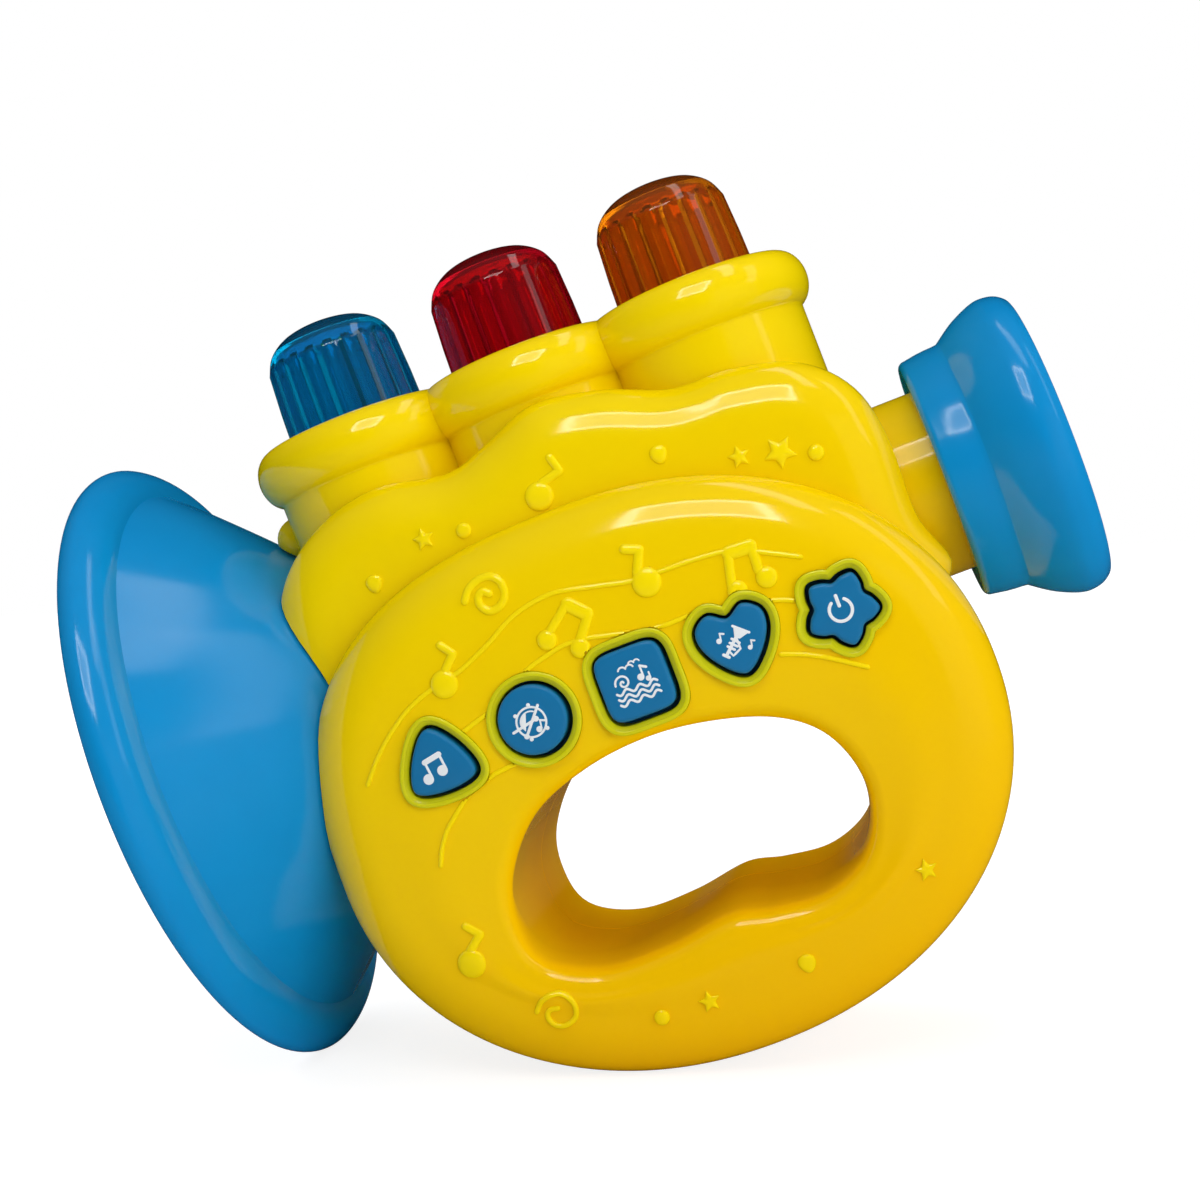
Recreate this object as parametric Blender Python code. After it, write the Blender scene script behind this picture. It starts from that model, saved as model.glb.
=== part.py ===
"""Toy trumpet with lit valve keys and five sound buttons: two yellow half shells, blue bell and mouthpiece."""

import math

import bmesh
import bpy

# Driving sizes in metres. X runs along the horn to the mouthpiece, Y to the back, Z up to the valve keys.
# The origin of these sizes is on the horn's axis below the middle key, in the parting plane.
WALL = 0.0022
GAP = 0.0003

LOOP_CENTRE = (0.0006, -0.0340)
LOOP_RIGHT = 0.0687
LOOP_LEFT = 0.0678
LOOP_HALF_HEIGHT = 0.0565
LOOP_ROUNDNESS = (2.12, 2.65, 2.05, 2.12)
LOOP_FRONT = -0.0400
LOOP_BACK = 0.0260
LOOP_EDGE = (0.0125, 0.0095)
BACK_EDGE = (0.0060, 0.0060)

HOLE_MIDDLE = (0.0015, -0.0455)
HOLE_EDGE = 0.0035
HOLE_DRAFT = 0.0012
HAND_HOLE = (
    (0.0010, -0.0255), (-0.0120, -0.0272), (-0.0240, -0.0320), (-0.0322, -0.0412), (-0.0345, -0.0500),
    (-0.0322, -0.0590), (-0.0220, -0.0640), (-0.0090, -0.0640), (0.0040, -0.0620), (0.0130, -0.0637),
    (0.0230, -0.0644), (0.0318, -0.0608), (0.0366, -0.0535), (0.0376, -0.0451), (0.0339, -0.0362),
    (0.0259, -0.0302), (0.0135, -0.0266),
)

MID_FRONT = -0.0300
MID_BACK = 0.0240
MID_EDGE = (0.0080, 0.0080)
MID_BACK_EDGE = (0.0050, 0.0050)
MID_OUTLINE = (
    (0.0020, 0.0441), (-0.0100, 0.0400), (-0.0195, 0.0376), (-0.0345, 0.0402), (-0.0480, 0.0372),
    (-0.0585, 0.0296), (-0.0640, 0.0185), (-0.0645, 0.0040), (-0.0640, -0.0120), (-0.0540, -0.0195),
    (0.0000, -0.0200), (0.0550, -0.0200), (0.0680, -0.0160), (0.0652, -0.0040), (0.0654, 0.0120),
    (0.0625, 0.0240), (0.0540, 0.0325), (0.0410, 0.0361), (0.0290, 0.0368), (0.0160, 0.0417),
)

KEY_PITCH = 0.0380
KEY_TOP = 0.0800
KEY_RADIUS = 0.0150
KEY_TRAVEL = 0.0050
TOWER_RADIUS = 0.0213
RIM_RADIUS = 0.0244
RIM_TUBE = (0.0045, 0.0060)
RIM_HEIGHT = 0.0509
DECK = 0.0562
DECK_UNDER = 0.0538

HORN_LIFT = 0.0006
TUBE_RADIUS = 0.0192
TUBE_END = 0.0800
COLLAR_START = 0.07265
MOUTH_END = 0.0976

LIP_RADIUS = 0.0664
LIP_X = -0.0901
LIP_DEPTH = 0.0098
LIP_LENGTH = 0.0046
BELL_OUTSIDE = (
    (0.0200, -0.0440), (0.0200, -0.0470), (0.0300, -0.0568), (0.0380, -0.0643), (0.0460, -0.0715),
    (0.0588, -0.0824),
)
BELL_INSIDE = (
    (0.0530, -0.0826), (0.0380, -0.0677), (0.0300, -0.0602), (0.0178, -0.0485), (0.0178, -0.0440),
)

BUTTON_TOP = -0.0417
BUTTON_TRAVEL = 0.0012
BEZEL_TOP = -0.0412
BEZEL_BOTTOM = -0.0345
BEZEL_GAP = 0.0006
BEZEL_WIDTH = 0.0016
BUTTONS = {
    "triangle": (-0.0372, -0.0162),
    "circle": (-0.0168, -0.0145),
    "square": (0.0043, -0.0146),
    "heart": (0.0248, -0.0140),
    "star": (0.0454, -0.0152),
}

DOOR = (-0.0300, 0.0395, -0.0155, 0.0180)
DOOR_SCREW = (0.0345, 0.0014)
DOOR_SEAT = 0.0236
CELL_RADIUS = 0.00715
CELL_LENGTH = 0.0500
CELL_DEPTH = 0.0128
CELL_HEIGHTS = (-0.0063, 0.0091)
SHELL_SCREWS = ((-0.0510, -0.0460), (0.0540, -0.0460), (-0.0190, 0.0236), (0.0190, 0.0236))
SPEAKER_X = -0.0411

for old in list(bpy.data.objects):
    bpy.data.objects.remove(old)

stance = bpy.data.objects.new("stance", None)
bpy.context.scene.collection.objects.link(stance)


def plastic(name, colour, roughness, metallic=0.0, transmission=0.0):
    material = bpy.data.materials.new(name)
    material.use_nodes = True
    shader = material.node_tree.nodes["Principled BSDF"]
    shader.inputs["Base Color"].default_value = (*colour, 1)
    shader.inputs["Roughness"].default_value = roughness
    shader.inputs["Metallic"].default_value = metallic
    shader.inputs["Transmission Weight"].default_value = transmission
    return material


YELLOW = ((0.88, 0.58, 0.01), 0.25)
BLUE = ((0.02, 0.26, 0.62), 0.25)
LIME = ((0.62, 0.58, 0.01), 0.35)
RUBBER_BLUE = ((0.01, 0.14, 0.36), 0.5)
BLACK = ((0.01, 0.01, 0.012), 0.6)
GREEN = ((0.02, 0.2, 0.07), 0.4)
STEEL = ((0.6, 0.6, 0.6), 0.3, 1.0)
WHITE = ((0.85, 0.85, 0.82), 0.4)
KEY_COLOURS = {"blue": (0.0, 0.12, 0.28), "red": (0.3, 0.0, 0.02), "orange": (0.5, 0.14, 0.0)}
KEYS = {"blue": -KEY_PITCH, "red": 0.0, "orange": KEY_PITCH}


def solid(name, shape, look=None):
    """A mesh object from (points, faces) with its faces turned out; helpers have no look."""
    mesh = bpy.data.meshes.new(name)
    mesh.from_pydata(shape[0], [], shape[1])
    work = bmesh.new()
    work.from_mesh(mesh)
    bmesh.ops.recalc_face_normals(work, faces=work.faces)
    work.to_mesh(mesh)
    work.free()
    obj = bpy.data.objects.new(name, mesh)
    bpy.context.scene.collection.objects.link(obj)
    if look:
        mesh.materials.append(plastic(name, *look))
        obj.parent = stance
    return obj


def combine(obj, others, operation):
    """Applies one Boolean for each other object in turn, and removes those objects."""
    for other in others:
        cut = obj.modifiers.new(operation.lower(), "BOOLEAN")
        cut.operation = operation
        cut.solver = "EXACT"
        cut.object = other
    bpy.context.view_layer.update()
    graph = bpy.context.evaluated_depsgraph_get()
    mesh = bpy.data.meshes.new_from_object(obj.evaluated_get(graph))
    work = bmesh.new()
    work.from_mesh(mesh)
    bmesh.ops.remove_doubles(work, verts=work.verts, dist=2e-6)
    bmesh.ops.dissolve_degenerate(work, edges=work.edges, dist=2e-6)
    work.to_mesh(mesh)
    work.free()
    obj.modifiers.clear()
    obj.data = mesh
    for other in others:
        bpy.data.objects.remove(other)
    return obj


def copy_of(obj, name):
    twin = bpy.data.objects.new(name, obj.data.copy())
    bpy.context.scene.collection.objects.link(twin)
    return twin


def finish(obj, look):
    obj.data.materials.clear()
    obj.data.materials.append(plastic(obj.name, *look))
    obj.parent = stance


def on_axis(obj, place):
    """Puts a moving piece's origin on its axis."""
    for vertex in obj.data.vertices:
        vertex.co = [c - p for c, p in zip(vertex.co, place)]
    obj.location = place


def loft(rings, caps=True):
    """Skin over rings of equal length; without caps the last ring joins the first."""
    n = len(rings[0])
    m = len(rings)
    points = [p for ring in rings for p in ring]
    faces = []
    for j in range(m - 1 if caps else m):
        a = j * n
        b = (j + 1) % m * n
        for i in range(n):
            k = (i + 1) % n
            faces.append((a + i, a + k, b + k, b + i))
    if caps:
        faces.append(tuple(range(n)))
        faces.append(tuple(range((m - 1) * n, m * n)))
    return points, faces


def turned(profile, axis, centre, steps, phase=0.0):
    """Turns (radius, place along axis) points; a profile from radius 0 to radius 0 is capped there, else it closes."""
    points = []
    rows = []
    for radius, along in profile:
        row = []
        for step in range(steps if radius else 1):
            angle = 2 * math.pi * (step + phase) / steps
            a = radius * math.cos(angle)
            b = radius * math.sin(angle)
            place = {"X": (along, a, b), "Y": (a, along, b), "Z": (a, b, along)}[axis]
            row.append(len(points))
            points.append(tuple(p + c for p, c in zip(place, centre)))
        rows.append(row)
    faces = []
    if not profile[0][0]:
        for end, beside in ((0, 1), (-1, -2)):
            if profile[end][1] == profile[beside][1]:
                faces.append(tuple(rows[beside]))
                rows[end] = None
    pairs = [(low, high) for low, high in zip(rows, rows[1:]) if low and high]
    if profile[0][0]:
        pairs.append((rows[-1], rows[0]))
    for low, high in pairs:
        for i in range(steps):
            k = (i + 1) % steps
            if len(low) == 1:
                faces.append((low[0], high[k], high[i]))
            elif len(high) == 1:
                faces.append((low[i], low[k], high[0]))
            else:
                faces.append((low[i], low[k], high[k], high[i]))
    used = sorted({p for face in faces for p in face})
    renumber = {p: i for i, p in enumerate(used)}
    return [points[p] for p in used], [tuple(renumber[p] for p in face) for face in faces]


def rod(radius, start, end, axis, centre, steps=16):
    return turned([(0, start), (radius, start), (radius, end), (0, end)], axis, centre, steps, 0.37)


def box(x0, x1, y0, y1, z0, z1):
    return loft([[(x0, y, z0), (x1, y, z0), (x1, y, z1), (x0, y, z1)] for y in (y0, y1)])


def smooth(points, n):
    """n points at even spacing on a closed curve through the given points."""
    fine = []
    count = len(points)
    for i in range(count):
        p, q, r, s = (points[(i + k) % count] for k in (-1, 0, 1, 2))
        for step in range(24):
            t = step / 24
            fine.append(tuple(
                0.5 * (2 * b + (c - a) * t + (2 * a - 5 * b + 4 * c - d) * t**2 + (3 * b - a - 3 * c + d) * t**3)
                for a, b, c, d in zip(p, q, r, s)
            ))
    lengths = [0.0]
    for a, b in zip(fine, fine[1:] + fine[:1]):
        lengths.append(lengths[-1] + math.dist(a, b))
    out = []
    j = 0
    for i in range(n):
        target = lengths[-1] * i / n
        while lengths[j + 1] < target:
            j += 1
        t = (target - lengths[j]) / (lengths[j + 1] - lengths[j])
        a = fine[j]
        b = fine[(j + 1) % len(fine)]
        out.append((a[0] + (b[0] - a[0]) * t, a[1] + (b[1] - a[1]) * t))
    return out


def by_angle(points, middle, n):
    """n points of a closed outline at even angles round a middle that sees all of it."""
    polar = sorted(
        (math.atan2(z - middle[1], x - middle[0]) % (2 * math.pi), math.dist((x, z), middle)) for x, z in points
    )
    polar = [(polar[-1][0] - 2 * math.pi, polar[-1][1])] + polar + [(polar[0][0] + 2 * math.pi, polar[0][1])]
    out = []
    j = 0
    for i in range(n):
        angle = 2 * math.pi * i / n
        while polar[j + 1][0] < angle:
            j += 1
        t = (angle - polar[j][0]) / (polar[j + 1][0] - polar[j][0])
        radius = polar[j][1] + (polar[j + 1][1] - polar[j][1]) * t
        out.append((middle[0] + radius * math.cos(angle), middle[1] + radius * math.sin(angle)))
    return out


def offset(outline, distance):
    """The closed outline moved outwards by a distance along its normals, inwards when negative."""
    n = len(outline)
    area = sum(a[0] * b[1] - b[0] * a[1] for a, b in zip(outline, outline[1:] + outline[:1]))
    sign = 1 if area > 0 else -1
    out = []
    for i in range(n):
        a = outline[i - 1]
        b = outline[(i + 1) % n]
        length = math.dist(a, b)
        out.append((
            outline[i][0] + sign * distance * (b[1] - a[1]) / length,
            outline[i][1] - sign * distance * (b[0] - a[0]) / length,
        ))
    return out


def flat(outline, y):
    return [(x, y, z) for x, z in outline]


def edge_steps(face, edge, count, grow=0.0):
    """(y, inset) pairs of a rounded edge, from the side wall to the face; grow moves the whole edge inwards."""
    wide, deep = edge
    way = 1 if face > 0 else -1
    steps = []
    for i in range(count + 1):
        angle = math.pi / 2 * i / count
        y = abs(face) - grow - deep * (1 - math.sin(angle))
        steps.append((way * y, wide * (1 - math.cos(angle)) + grow))
    return steps


def loop_outline(n):
    points = []
    for i in range(240):
        angle = 2 * math.pi * i / 240
        c = math.cos(angle)
        s = math.sin(angle)
        power = 2 / LOOP_ROUNDNESS[int(angle // (math.pi / 2))]
        half = LOOP_RIGHT if c > 0 else LOOP_LEFT
        points.append((
            LOOP_CENTRE[0] + half * math.copysign(abs(c) ** power, c),
            LOOP_CENTRE[1] + LOOP_HALF_HEIGHT * math.copysign(abs(s) ** power, s),
        ))
    return by_angle(points, HOLE_MIDDLE, n)


def loop_solid(grow):
    """The loop with its hand hole as one ring; grow is how far its skin lies inside the outer one."""
    stations = 26 if grow else 44
    outer = loop_outline(stations)
    hole = by_angle(smooth(HAND_HOLE, 240), HOLE_MIDDLE, stations)
    front = edge_steps(LOOP_FRONT, LOOP_EDGE, 1 if grow else 3, grow)
    back = edge_steps(LOOP_BACK, BACK_EDGE, 1 if grow else 2, grow)
    hole_front = edge_steps(LOOP_FRONT, (HOLE_EDGE, HOLE_EDGE), 1 if grow else 2, grow)
    hole_back = edge_steps(LOOP_BACK, (HOLE_EDGE, HOLE_EDGE), 1 if grow else 2, grow)
    hole_back = [(y, inset + HOLE_DRAFT) for y, inset in hole_back]
    rings = [flat(offset(outer, -inset), y) for y, inset in back[::-1] + front]
    rings += [flat(offset(hole, inset), y) for y, inset in hole_front[::-1] + hole_back]
    return loft(rings, caps=False)


def plate(outline, front, back):
    """A plate from (y, inset) steps of its rounded edges at the back and at the front."""
    return loft([flat(offset(outline, -inset), y) for y, inset in back[::-1] + front])


def rim_profile():
    wide, high = RIM_TUBE
    points = [(0, 0.020), (TOWER_RADIUS, 0.020), (TOWER_RADIUS, RIM_HEIGHT - 0.0055)]
    for degrees in (-58, -25, 12, 50, 90):
        angle = math.radians(degrees)
        points.append((RIM_RADIUS - wide + wide * math.cos(angle), RIM_HEIGHT + high * math.sin(angle)))
    return points + [(0.0175, DECK), (0, DECK)]


def body_solid(grow):
    """Loop, lobed middle, towers and horn tube as one solid, or the hollow inside it."""
    name = "outside" if grow == 0 else "hollow"
    body = solid(name, loop_solid(grow))
    middle = smooth(MID_OUTLINE, 26 if grow else 40)
    steps = 1 if grow else 2
    others = [solid("middle", plate(
        middle, edge_steps(MID_FRONT, MID_EDGE, steps, grow), edge_steps(MID_BACK, MID_BACK_EDGE, 1, grow)))]
    for x in KEYS.values():
        if grow:
            shape = rod(TOWER_RADIUS - grow, 0.014, DECK_UNDER, "Z", (x, 0, 0), 14)
        else:
            shape = turned(rim_profile(), "Z", (x, 0, 0), 22)
        others.append(solid("tower", shape))
    end = TUBE_END + (0.005 if grow else 0)
    others.append(solid("tube", rod(TUBE_RADIUS - grow, 0.043, end, "X", (0, 0, HORN_LIFT), 20)))
    return combine(body, others, "UNION")


def bell_room(more_radius, more_length):
    """The space that the bell's outside takes, enlarged."""
    profile = [(0, BELL_OUTSIDE[0][1] + more_length)]
    profile += [(radius + more_radius, x + more_length) for radius, x in BELL_OUTSIDE]
    profile += [(LIP_RADIUS, -0.0960), (0, -0.0960)]
    return turned(profile, "X", (0, 0, 0), 32)


def stub():
    """Rounded pipe end beside the first tower, over the bell."""
    radius = 0.0048
    profile = [(0, -0.0560), (radius, -0.0560), (radius, -0.0592)]
    for degrees in (30, 60):
        angle = math.radians(degrees)
        profile.append((radius * math.cos(angle), -0.0592 - radius * math.sin(angle)))
    return turned(profile + [(0, -0.0592 - radius)], "X", (0, 0, 0.0384), 12)


def triangle(n):
    return smooth([(r * math.sin(a), r * math.cos(a)) for r, a in (
        (0.0074, 0.0), (0.0054, 1.047), (0.0074, 2.094), (0.0054, 3.142), (0.0074, 4.189), (0.0054, 5.236))], n)


def star(n):
    return smooth([
        ((0.0074, 0.0054)[i % 2] * math.sin(math.pi * i / 5), -(0.0074, 0.0054)[i % 2] * math.cos(math.pi * i / 5))
        for i in range(10)], n)


def heart(n):
    half = [(0.0, 0.0046), (0.0035, 0.0063), (0.0066, 0.0042), (0.0066, 0.0004), (0.0038, -0.0040), (0.0, -0.0066)]
    return smooth(half + [(-x, z) for x, z in half[-2:0:-1]], n)


def square(n):
    points = []
    for i in range(n):
        angle = 2 * math.pi * i / n
        c = math.cos(angle)
        s = math.sin(angle)
        points.append((0.0069 * math.copysign(abs(c) ** 0.4, c), 0.0069 * math.copysign(abs(s) ** 0.4, s)))
    return points


def circle(n):
    return [(0.0069 * math.cos(2 * math.pi * i / n), 0.0069 * math.sin(2 * math.pi * i / n)) for i in range(n)]


def button_ring(name, distance):
    """A button's outline moved outwards by a distance, at its place on the front; hollows close up as they should."""
    shape = {"triangle": triangle, "circle": circle, "square": square, "heart": heart, "star": star}[name](120)
    moved = offset(shape, distance)
    if distance > 0:
        moved = [p for p in moved if min(math.dist(p, q) for q in shape) > 0.97 * distance]
    x, z = BUTTONS[name]
    return [(x + u, z + v) for u, v in by_angle(moved, (0, 0), 26 if name in ("star", "heart") else 20)]


def rounded_box(x0, x1, z0, z1, radius):
    points = []
    for x, z, start in (
        (x1 - radius, z1 - radius, 0), (x0 + radius, z1 - radius, 90),
        (x0 + radius, z0 + radius, 180), (x1 - radius, z0 + radius, 270),
    ):
        for turn in (0, 30, 60, 90):
            angle = math.radians(start + turn)
            points.append((x + radius * math.cos(angle), z + radius * math.sin(angle)))
    return points


def coil(radius, wire, low, high, turns, centre):
    """A round-wire compression spring standing on Z."""
    steps = 8
    rings = []
    total = turns * steps
    for i in range(total + 1):
        angle = 2 * math.pi * i / steps
        z = low + wire + (high - low - 2 * wire) * i / total
        ring = []
        for k in range(4):
            turn = math.pi * k / 2
            out = radius + wire * math.cos(turn)
            ring.append((
                centre[0] + out * math.cos(angle), centre[1] + out * math.sin(angle), z + wire * math.sin(turn)))
        rings.append(ring)
    return loft(rings)


# Half shells
outside = combine(body_solid(0.0), [solid("stub", stub())], "UNION")
outside = combine(outside, [solid("seat", bell_room(0.0006, 0.0004))], "DIFFERENCE")
hollow = combine(body_solid(WALL), [solid("seat", bell_room(0.0028, 0.0026))], "DIFFERENCE")
shell = combine(outside, [hollow], "DIFFERENCE")
cutters = [solid("throat", rod(0.0172, -0.0460, -0.0380, "X", (0, 0, 0), 20))]
for x in KEYS.values():
    cutters.append(solid("key hole", rod(KEY_RADIUS + 0.0006, DECK_UNDER - 0.0048, 0.0700, "Z", (x, 0, 0), 22)))
shell = combine(shell, cutters, "DIFFERENCE")

front_shell = copy_of(shell, "front_shell")
cutters = [solid("back half", box(-0.2, 0.2, -GAP / 2, 0.2, -0.2, 0.2))]
front_shell = combine(front_shell, cutters, "DIFFERENCE")
posts = [solid("post", rod(0.0034, LOOP_FRONT + 0.0016 if z < 0 else MID_FRONT + 0.0016, -GAP, "Y", (x, 0, z), 8))
         for x, z in SHELL_SCREWS]
front_shell = combine(front_shell, posts, "UNION")
cutters = [solid("pilot", rod(0.0014, -0.0150, 0.01, "Y", (x, 0, z), 6)) for x, z in SHELL_SCREWS]
for name in BUTTONS:
    opening = button_ring(name, BEZEL_GAP + BEZEL_WIDTH + GAP)
    cutters.append(solid("opening", loft([flat(opening, -0.060), flat(opening, -0.030)])))
front_shell = combine(front_shell, cutters, "DIFFERENCE")
finish(front_shell, YELLOW)

back_shell = combine(shell, [solid("front half", box(-0.2, 0.2, -0.2, GAP / 2, -0.2, 0.2))], "DIFFERENCE")
back_shell.name = "back_shell"
posts = [solid("post", rod(0.0040, GAP, (LOOP_BACK if z < 0 else MID_BACK) - 0.0012, "Y", (x, 0, z), 8))
         for x, z in SHELL_SCREWS]
tub = solid("tub", box(DOOR[0] - 0.0018, DOOR[1] + 0.0018, 0.0032, 0.0246, DOOR[2] - 0.0018, DOOR[3] + 0.0018))
back_shell = combine(back_shell, posts + [tub], "UNION")
cutters = [solid("well", box(-0.0276, 0.0276, 0.0052, 0.0300, -0.0140, 0.0168))]
cutters.append(solid("relief", box(0.0300, 0.0391, -0.0100, 0.0212, -0.0151, 0.0176)))
recess = rounded_box(*DOOR, 0.0030)
cutters.append(solid("recess", loft([flat(offset(recess, GAP), y) for y in (DOOR_SEAT, 0.0300)])))
for x, z in SHELL_SCREWS:
    cutters.append(solid("bore", rod(0.0017, -0.0100, 0.0400, "Y", (x, 0, z), 8)))
    cutters.append(solid("counterbore", rod(0.0031, 0.0090, 0.0400, "Y", (x, 0, z), 10)))
back_shell = combine(back_shell, cutters, "DIFFERENCE")
boss = solid("boss", rod(0.0036, 0.0110, 0.0220, "Y", (DOOR_SCREW[0], 0, DOOR_SCREW[1]), 12))
back_shell = combine(back_shell, [boss], "UNION")
back_shell = combine(
    back_shell, [solid("bore", rod(0.0016, 0.0060, 0.0400, "Y", (DOOR_SCREW[0], 0, DOOR_SCREW[1]), 10))], "DIFFERENCE")
finish(back_shell, YELLOW)

# Bell, grille and mouthpiece
crease = BELL_OUTSIDE[-1]
lip = []
for degrees in (28, 58, 90):
    angle = math.radians(degrees)
    lip.append((
        crease[0] + (LIP_RADIUS - crease[0]) * math.sin(angle), LIP_X + (crease[1] - LIP_X) * math.cos(angle)))
for degrees in (30, 60, 90):
    angle = math.radians(degrees)
    lip.append((LIP_RADIUS - LIP_DEPTH * (1 - math.cos(angle)), LIP_X - LIP_LENGTH * math.sin(angle)))
lip += [(0.0545, -0.0936), (0.0535, -0.0900)]
solid("bell", turned(list(BELL_OUTSIDE) + lip + list(BELL_INSIDE), "X", (0, 0, 0), 40), BLUE)
grille = solid("speaker_grille", rod(0.0175, -0.0474, -0.0456, "X", (0, 0, 0), 24))
holes = [solid("hole", rod(0.0030, -0.0490, -0.0440, "X", (0, 0, 0), 8))]
for i in range(8):
    angle = math.pi * i / 4
    place = (0, 0.0105 * math.cos(angle), 0.0105 * math.sin(angle))
    holes.append(solid("hole", rod(0.0030, -0.0490, -0.0440, "X", place, 8)))
finish(combine(grille, holes, "DIFFERENCE"), BLUE)
mouth = (
    (0, 0.0856), (0.0090, 0.0859), (0.0160, 0.0877), (0.0206, 0.0908), (0.0250, 0.0955), (0.0288, MOUTH_END),
    (0.0307, 0.0965), (0.0317, 0.0941), (0.0316, 0.0909), (0.0295, 0.0860), (0.0264, 0.0815), (0.0256, 0.0742),
    (0.0244, COLLAR_START), (0.0196, COLLAR_START), (0.0196, 0.0828), (0, 0.0828),
)
solid("mouthpiece", turned(mouth, "X", (0, 0, HORN_LIFT), 30), BLUE)

# Sound buttons, each in its bezel, over the membrane and the button board
for name in BUTTONS:
    solid("bezel_" + name, loft([flat(button_ring(name, distance), y) for distance, y in (
        (BEZEL_GAP, BEZEL_BOTTOM), (BEZEL_GAP, BEZEL_TOP + 0.0004), (BEZEL_GAP + 0.0005, BEZEL_TOP),
        (BEZEL_GAP + BEZEL_WIDTH - 0.0006, BEZEL_TOP), (BEZEL_GAP + BEZEL_WIDTH, BEZEL_TOP + 0.0006),
        (BEZEL_GAP + BEZEL_WIDTH, BEZEL_BOTTOM),
    )], caps=False), LIME)
    button = solid("button_" + name, loft([flat(button_ring(name, distance), y) for distance, y in (
        (BEZEL_GAP + 0.0008, BEZEL_BOTTOM + 0.0013), (BEZEL_GAP + 0.0008, BEZEL_BOTTOM + GAP),
        (0, BEZEL_BOTTOM + GAP), (0, BUTTON_TOP + 0.0009), (-0.0004, BUTTON_TOP + 0.0003), (-0.0013, BUTTON_TOP),
    )]), RUBBER_BLUE)
    on_axis(button, (BUTTONS[name][0], BUTTON_TOP, BUTTONS[name][1]))
board = rounded_box(-0.0450, 0.0535, -0.0200, -0.0062, 0.0040)
solid("keypad_membrane", loft([flat(board, -0.0316), flat(board, -0.0307)]), BLACK)
solid("button_board", loft([flat(board, -0.0304), flat(board, -0.0288)]), GREEN)

# Valve keys: translucent cap, plunger, spring, switch and lamp on the valve board
solid("valve_board", box(-0.0480, 0.0480, -0.0125, 0.0125, 0.0284, 0.0300), GREEN)
for name, x in KEYS.items():
    top = KEY_TOP
    foot = DECK_UNDER - 0.0008
    cap = (
        (0, top), (0.0060, top - 0.0003), (0.0105, top - 0.0014), (0.0134, top - 0.0034), (0.0144, top - 0.0060),
        (KEY_RADIUS, foot), (0.0174, foot), (0.0174, foot - 0.0020), (0.0130, foot - 0.0020), (0.0124, 0.0730),
        (0.0100, 0.0764), (0, 0.0776),
    )
    key = solid("key_" + name, turned(cap, "Z", (x, 0, 0), 22), (KEY_COLOURS[name], 0.15, 0.0, 0.6))
    on_axis(key, (x, 0, DECK))
    plunger = (
        (0, foot - 0.0023), (0.0172, foot - 0.0023), (0.0172, foot - 0.0038), (0.0034, foot - 0.0038),
        (0.0030, 0.0406), (0, 0.0406))
    on_axis(solid("plunger_" + name, turned(plunger, "Z", (x, 0, 0), 16), WHITE), (x, 0, DECK))
    solid("key_spring_" + name, coil(0.0062, 0.0005, 0.0303, foot - 0.0041, 4, (x, 0)), STEEL)
    base = solid("switch_" + name, box(x - 0.0030, x + 0.0030, -0.0030, 0.0030, 0.0303, 0.0338))
    finish(combine(base, [solid("tip", rod(0.0017, 0.0330, 0.0352, "Z", (x, 0, 0), 10))], "UNION"), BLACK)
    lamp = ((0, 0.0303), (0.0027, 0.0303), (0.0025, 0.0345), (0.0017, 0.0366), (0, 0.0375))
    solid("lamp_" + name, turned(lamp, "Z", (x + 0.0105 if x < 0.03 else x - 0.0105, 0, 0), 10), WHITE)

# Speaker behind the bell
frame = (
    (0.0186, SPEAKER_X), (0.0186, SPEAKER_X + 0.0014), (0.0160, SPEAKER_X + 0.0014), (0.0095, SPEAKER_X + 0.0046),
    (0.0060, SPEAKER_X + 0.0046), (0.0060, SPEAKER_X + 0.0036), (0.0090, SPEAKER_X + 0.0036), (0.0162, SPEAKER_X),
)
solid("speaker_frame", turned(frame, "X", (0, 0, 0), 18), STEEL)
cone = (
    (0, SPEAKER_X + 0.0018), (0.0050, SPEAKER_X + 0.0024), (0.0085, SPEAKER_X + 0.0029), (0.0155, SPEAKER_X - 0.0003),
    (0.0150, SPEAKER_X - 0.0003), (0.0085, SPEAKER_X + 0.0023), (0.0050, SPEAKER_X + 0.0018), (0, SPEAKER_X + 0.0012),
)
solid("speaker_cone", turned(cone, "X", (0, 0, 0), 18), BLACK)
solid("speaker_magnet", rod(0.0080, SPEAKER_X + 0.0049, SPEAKER_X + 0.0086, "X", (0, 0, 0), 20), STEEL)

# Battery compartment
for name, z, way in (("lower", CELL_HEIGHTS[0], 1), ("upper", CELL_HEIGHTS[1], -1)):
    half = CELL_LENGTH / 2
    cell = (
        (0, -half * way), (0.0062, -half * way), (CELL_RADIUS, -(half - 0.0008) * way), (CELL_RADIUS, (half - 0.0018) * way),
        (0.0062, (half - 0.0010) * way), (0.0027, (half - 0.0010) * way), (0.0027, half * way), (0, half * way),
    )
    solid("battery_" + name, turned(cell, "X", (0, CELL_DEPTH, z), 14), ((0.04, 0.04, 0.045), 0.35))
    solid("contact_" + name, box(0.0261, 0.0269, 0.0075, 0.0185, z - 0.0050, z + 0.0050), STEEL)
solid("contact_bridge", box(
    -0.0269, -0.0261, 0.0075, 0.0185, CELL_HEIGHTS[0] - 0.0050, CELL_HEIGHTS[1] + 0.0050), STEEL)
lid = rounded_box(*DOOR, 0.0030)
door = solid("battery_door", loft([
    flat(lid, DOOR_SEAT + GAP), flat(lid, LOOP_BACK - 0.0004), flat(offset(lid, -0.0004), LOOP_BACK)]))
place = (DOOR_SCREW[0], 0, DOOR_SCREW[1])
cutters = [solid("bore", rod(0.0019, 0.02, 0.04, "Y", place, 12)), solid("head", rod(0.0033, 0.0247, 0.04, "Y", place, 12))]
finish(combine(door, cutters, "DIFFERENCE"), YELLOW)
on_axis(door, (0, DOOR_SEAT, 0))


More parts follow.
